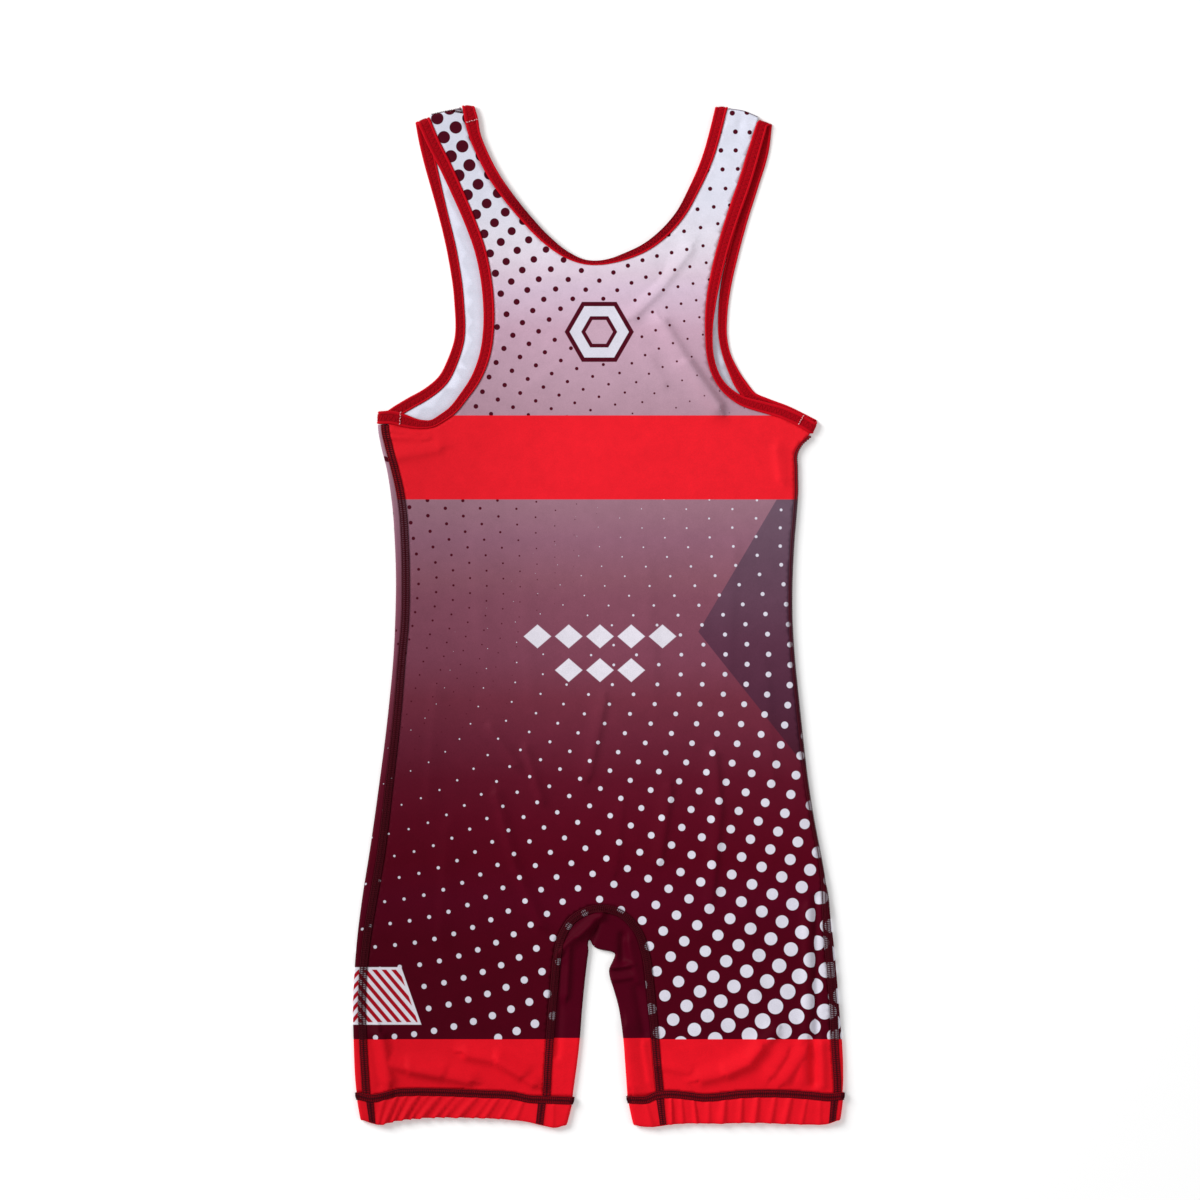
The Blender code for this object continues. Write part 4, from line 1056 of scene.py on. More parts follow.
SPECULAR = 0.03
SHEEN_TINT = "f0a0a8"
JERSEY_SHEEN = 0.06
BINDING_SHEEN = 0.08
GUSSET_SHEEN = 0.10
THREAD_SHEEN = 0.05
JERSEY_LOOK = (
    # roughness, the sheen's roughness, unevenness of the dye, depth of the bump in metres, its strength
    0.52, 0.35, 0.12, 0.00012, 0.5,
)
THREAD_LOOK = (0.60, 0.50, 0.20, 0.00010, 0.6)
PATCH_SCALE = 90.0       # textures' scales, in a metre
GRAIN_SCALE = 1400.0
WALE_SCALE = 620.0
LOOP_SCALE = 1900.0
FIBRE_SCALE = 2600.0


def new_material(name, roughness, sheen=0.0, sheen_roughness=0.5):
    """A matt material, its node tree and its shader."""
    material = bpy.data.materials.new(name)
    material.use_nodes = True
    shader = material.node_tree.nodes["Principled BSDF"]
    settings = {"Roughness": roughness, "Specular IOR Level": SPECULAR, "Sheen Weight": sheen,
                "Sheen Tint": linear(SHEEN_TINT), "Sheen Roughness": sheen_roughness}
    for setting, value in settings.items():
        shader.inputs[setting].default_value = value
    return material, material.node_tree, shader


def painted_side_shade(tree):
    """Painted shade: the garment's colour is made a fifth darker towards its left side."""
    x, _, _ = split(tree, own_place(tree))
    return x.below(*SIDE_SHADE_PLACE) * -SIDE_SHADE + 1.0


def mottled_with_painted_shade(tree, colour, amount):
    """The colour, a little uneven, as print on stretched cloth is, and darkened by painted shade towards the
    left.
    """
    patches = texture(tree, "Noise", PATCH_SCALE, Detail=5.0, Roughness=0.65)
    grain = texture(tree, "Noise", GRAIN_SCALE, Detail=1.0)
    value = ((patches - 0.5) * (2 * amount) + (grain - 0.5) * (2 * amount) + 1.0) * painted_side_shade(tree)
    return add_node(tree, "HueSaturation", {"Value": value, "Color": colour}).outputs["Color"]


def knit_height(tree):
    """Wales and courses of a fine jersey."""
    wales = texture(tree, "Wave", WALE_SCALE, Distortion=1.2, Detail=1.0)
    return wales * 0.6 + texture(tree, "Noise", LOOP_SCALE, Detail=2.0)


def fibre_height(tree):
    """Fibres of a thread."""
    return texture(tree, "Noise", FIBRE_SCALE, Detail=1.0)


def fabric(name, colour_of, height_of, look, sheen):
    """A fabric, with the colour and the relief that two functions make in its node tree."""
    roughness, sheen_roughness, unevenness, depth, strength = look
    material, tree, shader = new_material(name, roughness, sheen, sheen_roughness)
    tree.links.new(mottled_with_painted_shade(tree, colour_of(tree), unevenness), shader.inputs["Base Color"])
    bump = add_node(tree, "Bump", {"Distance": depth, "Strength": strength, "Height": height_of(tree)})
    tree.links.new(bump.outputs["Normal"], shader.inputs["Normal"])
    return material


def jersey(name, colour_of, sheen=JERSEY_SHEEN):
    return fabric(name, colour_of, knit_height, JERSEY_LOOK, sheen)


def thread_material(name, colour):
    return fabric(name, plain(colour), fibre_height, THREAD_LOOK, THREAD_SHEEN)


def plain(colour):
    return lambda tree: linear(colour)


def printed(back):
    return lambda tree: print_colour(tree, back)


def sewn_over(colour_of, cover):
    """The colour of a seam's strip: thread over the cloth's own colour."""
    return lambda tree: painted(tree, colour_of(tree), linear(THREAD), cover)


def gusset_colour(tree):
    _, y, _ = attribute(tree, "print_place")
    return painted(tree, linear(GUSSET_MAROON), linear(LEG_RED), y.below(GUSSET_BAND))


def binding_colour(neck):
    """Red knit, darker between its two ribs. Where the neck's free edge rolls over, it gets painted shade.
    """
    def colour_of(tree):
        start, stop, blur = BINDING_GROOVE
        across, _, _ = attribute(tree, "across")
        groove = across.below(stop, blur) * (-across).below(-start, blur)
        colour = painted(tree, linear(BINDING_RED), linear(BINDING_CENTRE), groove)
        if neck:
            _, y, _ = split(tree, own_place(tree))
            # painted shade on the neck binding's rolled free edge
            rolled = y.below(*NECK_ROLL_SHADE) * (-across).below(-start, blur)
            colour = painted(tree, colour, linear(BINDING_ROLL_SHADE), rolled)
        return colour
    return colour_of


MATERIALS = {
    "back": jersey("printed_back", printed(True)),
    "front": jersey("printed_front", printed(False)),
    "lining": jersey("wrong_side", plain(LINING)),
    "gusset": jersey("gusset_jersey", gusset_colour, GUSSET_SHEEN),
    "hem": jersey("hem_jersey", plain(LEG_RED)),
    "binding": jersey("binding_knit", binding_colour(False), BINDING_SHEEN),
    "neck_binding": jersey("neck_binding_knit_painted_shade", binding_colour(True), BINDING_SHEEN),
    "seam": jersey("seam_base", sewn_over(printed(True), THREAD_COVER)),
    "hem_seam": jersey("hem_seam_base", sewn_over(plain(LEG_RED), HEM_THREAD_COVER)),
    "thread": thread_material("seam_thread", THREAD),
    "binding_thread": thread_material("binding_thread", BINDING_THREAD),
    "tack_thread": thread_material("tack_thread", THREAD_LIGHT),
}


# --------------------------------------------------------------------------------------- meshes


def new_piece(name, points, faces, materials, wall=0.0):
    """A smooth mesh piece in the row frame, riding on the root. A wall makes it a shell."""
    mesh = bpy.data.meshes.new(name)
    mesh.from_pydata((np.asarray(points, float) - (*CENTRE, 0.0)) * MM, [], faces)
    for material in materials:
        mesh.materials.append(MATERIALS[material])
    mesh.shade_smooth()
    piece = bpy.data.objects.new(name, mesh)
    bpy.context.scene.collection.objects.link(piece)
    if wall:
        shell = piece.modifiers.new("wall", "SOLIDIFY")
        shell.thickness = wall * MM
        shell.offset = -1.0
        shell.use_even_offset = True
        shell.material_offset = 1
    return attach(piece, "root")


def grid_faces(rows, columns, closed_rows=False, closed_columns=False):
    """Quads of a grid whose points are numbered row by row."""
    r = np.arange(rows if closed_rows else rows - 1)
    c = np.arange(columns if closed_columns else columns - 1)
    r, c = np.meshgrid(r, c, indexing="ij")
    r1, c1 = (r + 1) % rows, (c + 1) % columns
    quads = np.stack([r * columns + c, r * columns + c1, r1 * columns + c1, r1 * columns + c], axis=-1)
    return quads.reshape(-1, 4)


def turn_faces(mesh, up=None):
    """Turns all the faces the same way: outwards, or with most of the flat ones up or down."""
    bm = bmesh.new()
    bm.from_mesh(mesh)
    bmesh.ops.recalc_face_normals(bm, faces=bm.faces)
    if up is not None and up != (sum(face.normal.z * face.calc_area() for face in bm.faces) > 0):
        bmesh.ops.reverse_faces(bm, faces=bm.faces)
    bm.to_mesh(mesh)
    bm.free()


# --------------------------------------------------------------------------------------- panels

def needs_fine(points):
    """Which points of the top layer lie over the leg bands or on a crease."""
    ridge, trough = creased(points[:, 0], points[:, 1])
    return (points[:, 1] <= LEGS) | (ridge - trough > FINE_CREASE)


def pleated(points):
    """The points, with those by the pleat replaced by three rows along it."""
    off = (np.abs(points[:, 0] - PLEAT_X) > PLEAT_CLEARANCE)
    off |= (points[:, 1] > PLEAT_TOP) | (points[:, 1] < PLEAT_BOTTOM)
    line = np.arange(PLEAT_BOTTOM, PLEAT_TOP, PLEAT_STEP)
    rows = [np.stack([np.full(len(line), PLEAT_X + shift), line], axis=1)
            for shift in (-PLEAT_HALF, 0.0, PLEAT_HALF)]
    return np.vstack([points[off], *rows])


def past_pleat(places):
    """The places on the print, moved on by the cloth that the pleat hides on its right."""
    over = np.clip((places[:, 0] - PLEAT_X) / PLEAT_HALF * 0.5 + 0.5, 0.0, 1.0)
    fade = np.clip((PLEAT_TOP + PLEAT_FADE_ABOVE - places[:, 1]) / PLEAT_FADE, 0.0, 1.0)
    fade *= np.clip((places[:, 1] - PLEAT_BOTTOM + PLEAT_FADE_BELOW) / PLEAT_FADE, 0.0, 1.0)
    return places + np.stack([PLEAT_HIDDEN * over * fade, np.zeros(len(places))], axis=1)


def filled(outline, top, spacing):
    """Points over an outline, finer where the top layer needs it, and the triangles between them."""
    points = lattice(outline, spacing)
    if top:
        fine = lattice(outline, FINE_SPACING)
        points = pleated(np.vstack([points[~needs_fine(points)], fine[needs_fine(fine)]]))
    points = points[inside(points, outline)]
    points = points[clear_of(points, outline, min(spacing, EDGE_STEP) * EDGE_CLEARANCE)]
    corners = [Vector(point) for point in np.vstack([outline, points])]
    found, _, faces, *_ = delaunay_2d_cdt(corners, [], [list(range(len(outline)))], 0,
                                         OUTLINE_TOLERANCE)
    found = np.array([tuple(point) for point in found])
    middles = np.array([found[list(face)].mean(axis=0) for face in faces])
    return found, [list(face) for face, kept in zip(faces, inside(middles, outline)) if kept]


def panel(name, edges, wraps, top, spacing, material):
    """A cut panel: its flat outline filled with triangles, and grids that go on round the folds.

    wraps gives, for the number of an edge, a function from the points of that edge to a grid of the
    points that the cloth runs on through and a grid of their places on the print.
    """
    edges = closed_outline(edges)
    outline = np.vstack([edge[:-1] if np.allclose(edge[-1], following[0]) else edge
                         for edge, following in zip(edges, edges[1:] + edges[:1])])
    flat, faces = filled(outline, top, spacing)
    z = height(flat[:, 0], flat[:, 1]) if top else np.zeros(len(flat))
    blocks, places = [np.column_stack([flat, z])], [flat]
    total = len(flat)
    for number, wrap in wraps.items():
        grid, spots = wrap(edges[number])
        starts = [int(np.argmin(((flat - point) ** 2).sum(axis=1))) for point in edges[number]]
        blocks.append(grid.reshape(-1, 3))
        places.append(spots.reshape(-1, 2))
        rest = total + np.arange(len(blocks[-1])).reshape(grid.shape[:2])
        index = np.column_stack([starts, rest])
        quads = np.stack([index[:-1, :-1], index[:-1, 1:], index[1:, 1:], index[1:, :-1]], axis=-1)
        faces += quads.reshape(-1, 4).tolist()
        total += len(blocks[-1])
    points, places = np.vstack(blocks), np.vstack(places)
    if top:
        places = past_pleat(places)
    used = sorted({i for face in faces for i in face})
    renumber = {old: new for new, old in enumerate(used)}
    faces = [[renumber[i] for i in face] for face in faces]
    piece = new_piece(name, points[used], faces, [material, "lining"], CLOTH)
    turn_faces(piece.data, top)
    set_print(piece.data, places[used])
    return piece


def side_edge(hand, start, tuck=None):
    """A panel's edge from height start down past the hem: at the side seam, or tuck in from the fold."""
    y = np.arange(start, SIDE_BOTTOM, -EDGE_STEP)
    inward = seam_inner(hand, y) + GAP if tuck is None else tuck
    return np.stack([outer_edge(hand, y) - hand * (FOLD + inward), y], axis=1)


def hem_edge(x0, x1):
    x = np.linspace(x0, x1, round(abs(x1 - x0) / EDGE_STEP) + 1)
    return np.stack([x, hem_top(x)], axis=1)


def gusset_edge():
    """A panel's edge along the outside of the gusset seam."""
    return extended(offset(spline(GUSSET, EDGE_STEP), SEAM_WIDTH / 2 + GAP), GUSSET_OVERRUN)


def opening_edge(rows, distance):
    """The edge of a panel along an opening, at a distance from its binding."""
    return extended(offset(spline(rows, EDGE_STEP), distance), OPENING_OVERRUN)


def shoulder_edge(folds, strap, before):
    """The line at a distance before a shoulder fold."""
    return spline(folds, EDGE_STEP) - np.array(strap) * (FOLD + before)


def shoulder_wrap(strap, start, seam, shift, steps):
    """Carries a panel round a shoulder fold, from start to the seam's start moved by shift."""
    def wrap(edge):
        before = start if start > 0 else BACK_OF_FOLD - start
        tangent = edge + np.array(strap) * before
        stop = np.interp(edge[:, 0], *np.transpose(seam)) + shift
        run = (stop - start)[:, None] * np.linspace(0.0, 1.0, steps + 1)[1:]
        grid = fold_points(tangent[:, None, :], strap, start + run)
        return grid, edge[:, None, :] + np.array(strap) * np.abs(run)[..., None]
    return wrap


def side_wrap(hand, start):
    """Carries the front panel round a side fold, up to the side seam."""
    def wrap(edge):
        x, y = edge[:, :1], edge[:, 1:]
        stop = seam_inner(hand, y) - SEAM_WIDTH - GAP
        s = start + (stop - start) * np.linspace(0.0, 1.0, FOLD_STEPS + 1)[1:]
        places = np.stack([x + hand * (s - start), np.broadcast_to(y, s.shape)], axis=-1)
        return side_points(hand, y, s), places
    return wrap


def panel_edges(left, right, hems, left_hole, right_hole, neck, before):
    """A panel's edges in turn, anticlockwise from the top of its left side."""
    return [
        left,
        hem_edge(*hems[0]),
        gusset_edge(),
        hem_edge(*hems[1]),
        right[::-1],
        right_hole,
        shoulder_edge(SHOULDER_RIGHT, STRAP_RIGHT, before)[::-1],
        neck,
        shoulder_edge(SHOULDER_LEFT, STRAP_LEFT, before)[::-1],
        left_hole,
    ]


LEFT_SIDE, RIGHT_SIDE, RIGHT_SHOULDER, LEFT_SHOULDER = 0, 4, 6, 8        # places of edges in that list


def back_panel():
    edges = panel_edges(side_edge(-1, BACK_SIDE_TOP), side_edge(1, BACK_SIDE_TOP), BACK_HEMS,
                        opening_edge(ARMHOLE_LEFT_BACK, -GAP)[::-1], opening_edge(ARMHOLE_RIGHT_BACK, GAP),
                        opening_edge(NECK_BACK, -GAP)[::-1], SHOULDER_FLAT)
    wraps = {
        RIGHT_SHOULDER: shoulder_wrap(STRAP_RIGHT, SHOULDER_FLAT, SHOULDER_SEAM_RIGHT, GAP, BACK_WRAP_STEPS),
        LEFT_SHOULDER: shoulder_wrap(STRAP_LEFT, SHOULDER_FLAT, SHOULDER_SEAM_LEFT, GAP, BACK_WRAP_STEPS),
    }
    return panel("back_cloth", edges, wraps, True, TOP_SPACING, "back")


def front_panel():
    left_hole = opening_edge(ARMHOLE_LEFT_FRONT, GAP)
    right_hole = opening_edge(ARMHOLE_RIGHT_FRONT, -GAP)[::-1]
    edges = panel_edges(side_edge(-1, UNDERARM_LEFT, 0.0), side_edge(1, FRONT_RIGHT_START, FRONT_TUCK),
                        FRONT_HEMS, left_hole[left_hole[:, 0] > FRONT_ARMHOLES[0]],
                        right_hole[right_hole[:, 0] < FRONT_ARMHOLES[1]],
                        opening_edge(NECK_FRONT, GAP), SHOULDER_BACK)
    past = BACK_OF_FOLD - SHOULDER_BACK
    shift = -SHOULDER_SEAM_WIDTH - GAP
    left_steps, right_steps = FRONT_WRAP_STEPS
    wraps = {
        LEFT_SIDE: side_wrap(-1, BACK_OF_FOLD),
        RIGHT_SIDE: side_wrap(1, BACK_OF_FOLD - FRONT_TUCK),
        RIGHT_SHOULDER: shoulder_wrap(STRAP_RIGHT, past, SHOULDER_SEAM_RIGHT, shift, right_steps),
        LEFT_SHOULDER: shoulder_wrap(STRAP_LEFT, past, SHOULDER_SEAM_LEFT, shift, left_steps),
    }
    return panel("front_cloth", edges, wraps, False, BOTTOM_SPACING, "front")


def crotch_gusset():
    """The gusset, from its back seam across the top, round the crotch fold and along the bottom."""
    table = spline(GUSSET, GUSSET_STEP)
    seam = table[:, :2] + across_line(table, -1) * (SEAM_WIDTH / 2 + GAP)
    edge = table[:, 2:]
    length = np.linalg.norm(edge - seam, axis=1)[:, None]
    way = (edge - seam) / length
    tangent = edge - way * FOLD
    width = length - FOLD
    on_top, below = GUSSET_STRIPS
    flat = np.linspace(1.0, 0.0, on_top + 1)[:-1] * width
    turned = np.broadcast_to(np.linspace(0.0, BACK_OF_FOLD, FOLD_STEPS + 1), (len(table), FOLD_STEPS + 1))
    under = BACK_OF_FOLD - np.linspace(0.0, 1.0, below + 1)[1:] * width
    grid = fold_points(tangent[:, None, :], way[:, None, :], np.concatenate([flat, turned, under], axis=1))
    for row in (grid[0], grid[-1]):
        row[:, 1] = hem_top(row[:, 0])
    points = grid.reshape(-1, 3)
    faces = grid_faces(*grid.shape[:2]).tolist()
    piece = new_piece("gusset_cloth", points, faces, ["gusset", "lining"], CLOTH)
    set_print(piece.data, points)
    return piece


# ---------------------------------------------------------------------------------------- bands

# Profiles: fraction across and lift, along the outer face and back along the inner face
BINDING_FACE = (
    (0.00, -0.35), (0.03, 0.22), (0.09, 0.52), (0.15, 0.36), (0.21, -0.05), (0.36, 0.08), (0.50, 0.12),
    (0.64, 0.08), (0.78, -0.05), (0.84, 0.36), (0.91, 0.52), (0.97, 0.22), (1.00, -0.35),
)
BINDING_PROFILE = BINDING_FACE + tuple((at, -BINDING_WALL - lift) for at, lift in BINDING_FACE[-2:0:-1])
SEAM_PROFILE = (
    (0.00, -0.30), (0.03, 0.05), (0.12, 0.22), (0.30, 0.26), (0.50, 0.16), (0.70, 0.26), (0.88, 0.22),
    (0.97, 0.05), (1.00, -0.30), (0.95, -0.80), (0.50, -0.85), (0.05, -0.80),
)
HEM_PROFILE = (
    (0.00, -0.20), (0.01, 0.00), (0.12, 0.10), (0.30, 0.18), (0.50, 0.20), (0.70, 0.20), (0.85, 0.15),
    (0.94, 0.00), (0.985, -0.35), (1.00, -0.80), (0.985, -1.30), (0.93, -1.55), (0.70, -1.60),
    (0.40, -1.60), (0.02, -1.40),
)

# Stitches: pitch, first and last needle row across, lift, radius, slant of the cross threads, rows
BINDING_STITCH = (1.9, (0.27, 0.73), 0.16, 0.24, None, 2)
SEAM_STITCH = (1.5, (0.10, 0.90), 0.24, 0.42, 0.15, 3)
NEEDLE_SHARE = 0.86      # share of its pitch that a needle thread is long
STITCH_BOW = 0.7         # how far a stitch bows up, for each millimetre of its radius
STITCH_FACES = 4

# Threads: places along a thread, and its thickness there
THREAD_STATIONS = np.array([0.0, 0.25, 0.5, 0.75, 1.0])
THREAD_SIZES = np.array([0.35, 0.9, 1.0, 0.9, 0.35])
THREAD_LOW = 0.05        # no thread lies lower than this


def surface_grid(surface, closed, step):
    """A surface's points and their unit normals away from the garment, BAND_STRIPS strips wide."""
    grid = surface(step, np.linspace(0.0, 1.0, BAND_STRIPS + 1))
    along = np.roll(grid, -1, axis=0) - np.roll(grid, 1, axis=0) if closed else np.gradient(grid, axis=0)
    normal = np.cross(along, np.gradient(grid, axis=1))
    normal /= np.maximum(np.linalg.norm(normal, axis=-1), TINY)[..., None]
    top = np.unravel_index(np.argmax(grid[..., 2]), grid.shape[:2])
    return grid, normal if normal[top][2] > 0 else -normal


def between(grid, fractions):
    """The columns of a grid at fractions of its width."""
    at = np.asarray(fractions) * BAND_STRIPS
    low = np.clip(np.floor(at), 0, BAND_STRIPS - 1).astype(int)
    mix = (at - low)[None, :, None]
    return grid[:, low] * (1 - mix) + grid[:, low + 1] * mix


def band(name, surface, closed, profile, step, material, places=False):
    """A band of cloth or thread: a profile carried along a surface, and closed to a loop if it is one.

    surface(step, fractions) gives a grid of points, a row for each place along the band and a column
    for each fraction of its width. profile lists the fraction and the lift of the outer face's points,
    and then of the inner face's.
    """
    across, lift = np.array(profile).T
    grid, normal = surface_grid(surface, closed, step)
    points = between(grid, across) + between(normal, across) * lift[None, :, None]
    points[..., 2] = np.maximum(points[..., 2], 0.0)
    rows, columns = points.shape[:2]
    faces = grid_faces(rows, columns, closed, True).tolist()
    if not closed:
        faces += [list(range(columns)), list(range((rows - 1) * columns, rows * columns))[::-1]]
    points = points.reshape(-1, 3)
    piece = new_piece(name, points, faces, [material])
    turn_faces(piece.data)
    zero = np.zeros(len(points))
    set_vectors(piece.data, "across", np.tile(across, rows), zero, zero)
    if places:
        set_print(piece.data, points)
    return piece


def unit(vectors):
    """Vectors of length 1 the same way."""
    return vectors / np.maximum(np.linalg.norm(vectors, axis=1), TINY)[:, None]


def threads(name, starts, ends, ups, radius, bow, sides, material):
    """Many short threads from starts to ends, each bowed up in its middle, as one piece."""
    count, stations = len(starts), len(THREAD_STATIONS)
    way = unit(ends - starts)
    side_way = unit(np.cross(way, ups))
    up = np.cross(side_way, way)
    centre = starts[:, None, :] + (ends - starts)[:, None, :] * THREAD_STATIONS[None, :, None]
    centre = centre + up[:, None, :] * (np.sin(np.pi * THREAD_STATIONS) * bow)[None, :, None]
    turn = np.arange(sides) * 2 * math.pi / sides
    ring = (side_way[:, None, None, :] * np.cos(turn)[None, None, :, None]
            + up[:, None, None, :] * np.sin(turn)[None, None, :, None])
    points = centre[:, :, None, :] + ring * (THREAD_SIZES * radius)[None, :, None, None]
    points[..., 2] = np.maximum(points[..., 2], THREAD_LOW)
    size = stations * sides
    one = grid_faces(stations, sides, False, True)
    faces = (one[None] + np.arange(count)[:, None, None] * size).reshape(-1, 4).tolist()
    for first in range(0, count * size, size):
        faces.append(list(range(first, first + sides)))
        faces.append(list(range(first + size - sides, first + size))[::-1])
    piece = new_piece(name, points.reshape(-1, 3), faces, [material])
    turn_faces(piece.data)
    return piece


def cover_stitches(name, surface, closed, stitch, material, wall=0.0):
    """The threads of a flat seam: cross threads between two needle rows, and the needle rows.

    Without a slant the cross threads are a zigzag. With a wall they are sewn on the inner side of it.
    """
    pitch, (low, high), lift, radius, slant, rows = stitch
    grid, normal = surface_grid(surface, closed, pitch)
    normal = normal * (-1 if wall else 1)
    grid = grid + normal * (wall + lift)
    here = np.arange(len(grid) if closed else len(grid) - 1)
    there = (here + 1) % len(grid)

    def at(values, k, fraction):
        return between(values, [fraction])[k, 0]

    if slant is None:
        odd = (here % 2 == 1)[:, None]
        starts = [np.where(odd, at(grid, here, high), at(grid, here, low))]
        ends = [np.where(odd, at(grid, there, low), at(grid, there, high))]
    else:
        starts = [at(grid, here, low)]
        ends = [at(grid, here, high) * (1 - slant) + at(grid, there, high) * slant]
    ups = [at(normal, here, 0.5)]
    for fraction in np.linspace(low, high, rows):
        starts.append(at(grid, here, fraction))
        ends.append(at(grid, there, fraction) * NEEDLE_SHARE + starts[-1] * (1 - NEEDLE_SHARE))
        ups.append(at(normal, here, fraction))
    return threads(name, np.vstack(starts), np.vstack(ends), np.vstack(ups), radius,
                   radius * STITCH_BOW, STITCH_FACES, material)


def binding_surface(back, front, first_way, last_way, hand):
    """A binding loop: along the back edge, over a fold, along the front edge and over the other fold.

    first_way is the way that the cloth points at the fold where the back edge ends, last_way where it
    starts, and hand says on which side of the back edge the opening lies.
    """
    def section(point, across, normal, width, roll, fractions):
        """Points across the binding, whose free edge rolls over by roll."""
        rolled = min(1.0, roll / width)
        t = (1 - rolled) * np.arcsin(fractions) + rolled * fractions * math.pi / 2
        return (point + across * (width * np.sin(t))[:, None]
                - normal * (roll * (1 - np.cos(t)))[:, None])

    def flat(line, across, top, fractions):
        """Sections along the top layer or along the floor."""
        z = height(line[:, 0], line[:, 1]) + BINDING_RISE if top else np.zeros(len(line))
        normal = np.array([0.0, 0.0, 1.0 if top else -1.0])
        return [section(np.array([x, y, level]), np.array([*side_way, 0.0]), normal, width, roll, fractions)
                for (x, y, width, roll), side_way, level in zip(line, across, z)]

    def fold(top_row, top_across, low_row, low_across, way, step, fractions):
        """Sections round a fold, from the top layer down to the floor."""
        tall = float(height(top_row[0], top_row[1])) + BINDING_RISE
        reach = FOLD + BINDING_RISE / 2
        sections = []
        for turn in np.linspace(0.0, math.pi, max(4, round(math.pi * reach / step)) + 1)[1:-1]:
            mix = turn / math.pi
            sine, cosine = math.sin(turn), math.cos(turn)
            x, y, width, roll = top_row * (1 - mix) + low_row * mix
            across = np.array([*(top_across * (1 - mix) + low_across * mix), 0.0])
            point = np.array([x + way[0] * reach * sine, y + way[1] * reach * sine, tall / 2 * (1 + cosine)])
            normal = np.array([way[0] * sine, way[1] * sine, cosine])
            row = section(point, across / np.linalg.norm(across), normal, width, roll, fractions)
            inset = BINDING_CORNER * reach * sine * fractions ** 3
            sections.append(row - inset[:, None] * np.array([*way, 0.0]))
        return sections

    def surface(step, fractions):
        top, low = spline(back, step), spline(front, step)
        top_across, low_across = across_line(top, hand), across_line(low, -hand)
        first = fold(top[-1], top_across[-1], low[0], low_across[0], first_way, step, fractions)
        last = fold(top[0], top_across[0], low[-1], low_across[-1], last_way, step, fractions)
        return np.array(flat(top, top_across, True, fractions) + first
                        + flat(low, low_across, False, fractions) + last[::-1])
    return surface


def side_seam_surface(hand, start):
    """The seam from the underarm to the hem: on the top layer, or round the fold."""
    def surface(step, fractions):
        foot = float(hem_top(LEFT_FOOT if hand < 0 else RIGHT_FOOT))
        y = np.linspace(start, foot, round((start - foot) / step) + 1)[:, None]
        grid = side_points(hand, y, seam_inner(hand, y) - SEAM_WIDTH * (1 - fractions), SEAM_RISE)
        grid[-1, :, 1] = hem_top(grid[-1, :, 0])
        return grid
    return surface


def gusset_seam_surface(top):
    """The seam round the gusset, on the top layer or under the bottom one."""
    def surface(step, fractions):
        line = spline(GUSSET, step)[:, :2]
        shift = SEAM_WIDTH * (0.5 - fractions)
        spots = line[:, None, :] + across_line(line)[:, None, :] * shift[None, :, None]
        for row in (spots[0], spots[-1]):
            row[:, 1] = hem_top(row[:, 0])
        z = height(spots[..., 0], spots[..., 1]) + SEAM_RISE if top else np.zeros(spots.shape[:2])
        return np.concatenate([spots, z[..., None]], axis=-1)
    return surface


def shoulder_seam_surface(folds, strap, seam, span):
    """The short seam over the fold at the top of a strap, between two places across it."""
    def surface(step, fractions):
        low, high = span
        line = spline(folds, SHOULDER_STEP)
        line = line[(line[:, 0] > low) & (line[:, 0] < high)]
        line = line[np.linspace(0, len(line) - 1, max(3, round((high - low) / step))).astype(int)]
        tangent = line - np.array(strap) * FOLD
        s = np.interp(line[:, 0], *np.transpose(seam))[:, None] - SHOULDER_SEAM_WIDTH * fractions
        return fold_points(tangent[:, None, :], strap, s, SEAM_RISE / 2)
    return surface


def gathered(across, t, gathers):
    """Height of a hem's gathers at places across it (0 to 1) and down it (0 to 1)."""
    z = np.zeros(np.broadcast(across, t).shape)
    for at, lean, depth, width in gathers:
        away = across - at - lean * t
        flank = width * np.where(away < 0, *GATHER_FLANKS) * (GATHER_SPREAD[0] + GATHER_SPREAD[1] * t)
        z = z + depth * np.exp(-(away / flank) ** 2)
    ends = np.clip(GATHER_ENDS * across, 0, 1) * np.clip(GATHER_ENDS * (1 - across), 0, 1)
    start, growth, bend = GATHER_SWELL
    return z * ends * (start + growth * t + bend * t * t)


def share_across(rows):
    """How far along the hem each row lies, from 0 to 1."""
    return (rows[:, 0] - rows[0, 0]) / (rows[-1, 0] - rows[0, 0])


def leg_surface(table, start, stop, rise, gathers=()):
    """A band right round a leg, between two distances down from the cover seam's centre.

    stop is None for a band that runs down to the gathered lower edge of the leg.
    """
    def stations(rows, fractions):
        seam, edge = rows[:, :2], rows[:, 2:]
        length = np.linalg.norm(edge - seam, axis=1)
        far = length if stop is None else np.full(len(rows), stop)
        d = start + (far - start)[:, None] * fractions[None, :]
        return seam[:, None, :] + (edge - seam)[:, None, :] * (d / length[:, None])[..., None]

    def round_fold(row, hand, turns, fractions):
        tangent = stations(row, fractions)[0]
        return np.array([fold_points(tangent, (hand, 0.0), np.full(len(fractions), s), rise) for s in turns])

    def surface(step, fractions):
        rows = spline(table, step)
        spots = stations(rows, fractions)
        z = height(spots[..., 0], spots[..., 1]) + rise
        if gathers:
            wave = gathered(share_across(rows)[:, None], fractions[None, :], gathers)
            z = z + wave
            spots[..., 1] -= SCALLOP * wave * fractions[None, :]
        top = np.concatenate([spots, z[..., None]], axis=-1)
        turns = np.linspace(0.0, BACK_OF_FOLD, LEG_FOLD_STEPS + 1)[1:-1]
        right = round_fold(rows[-1:], 1.0, turns, fractions)
        left = round_fold(rows[:1], -1.0, turns[::-1], fractions)
        low = stations(rows[::-1], fractions)
        low = np.concatenate([low, np.zeros(low.shape[:2])[..., None]], axis=-1)
        return np.concatenate([top, right, low, left])
    return surface


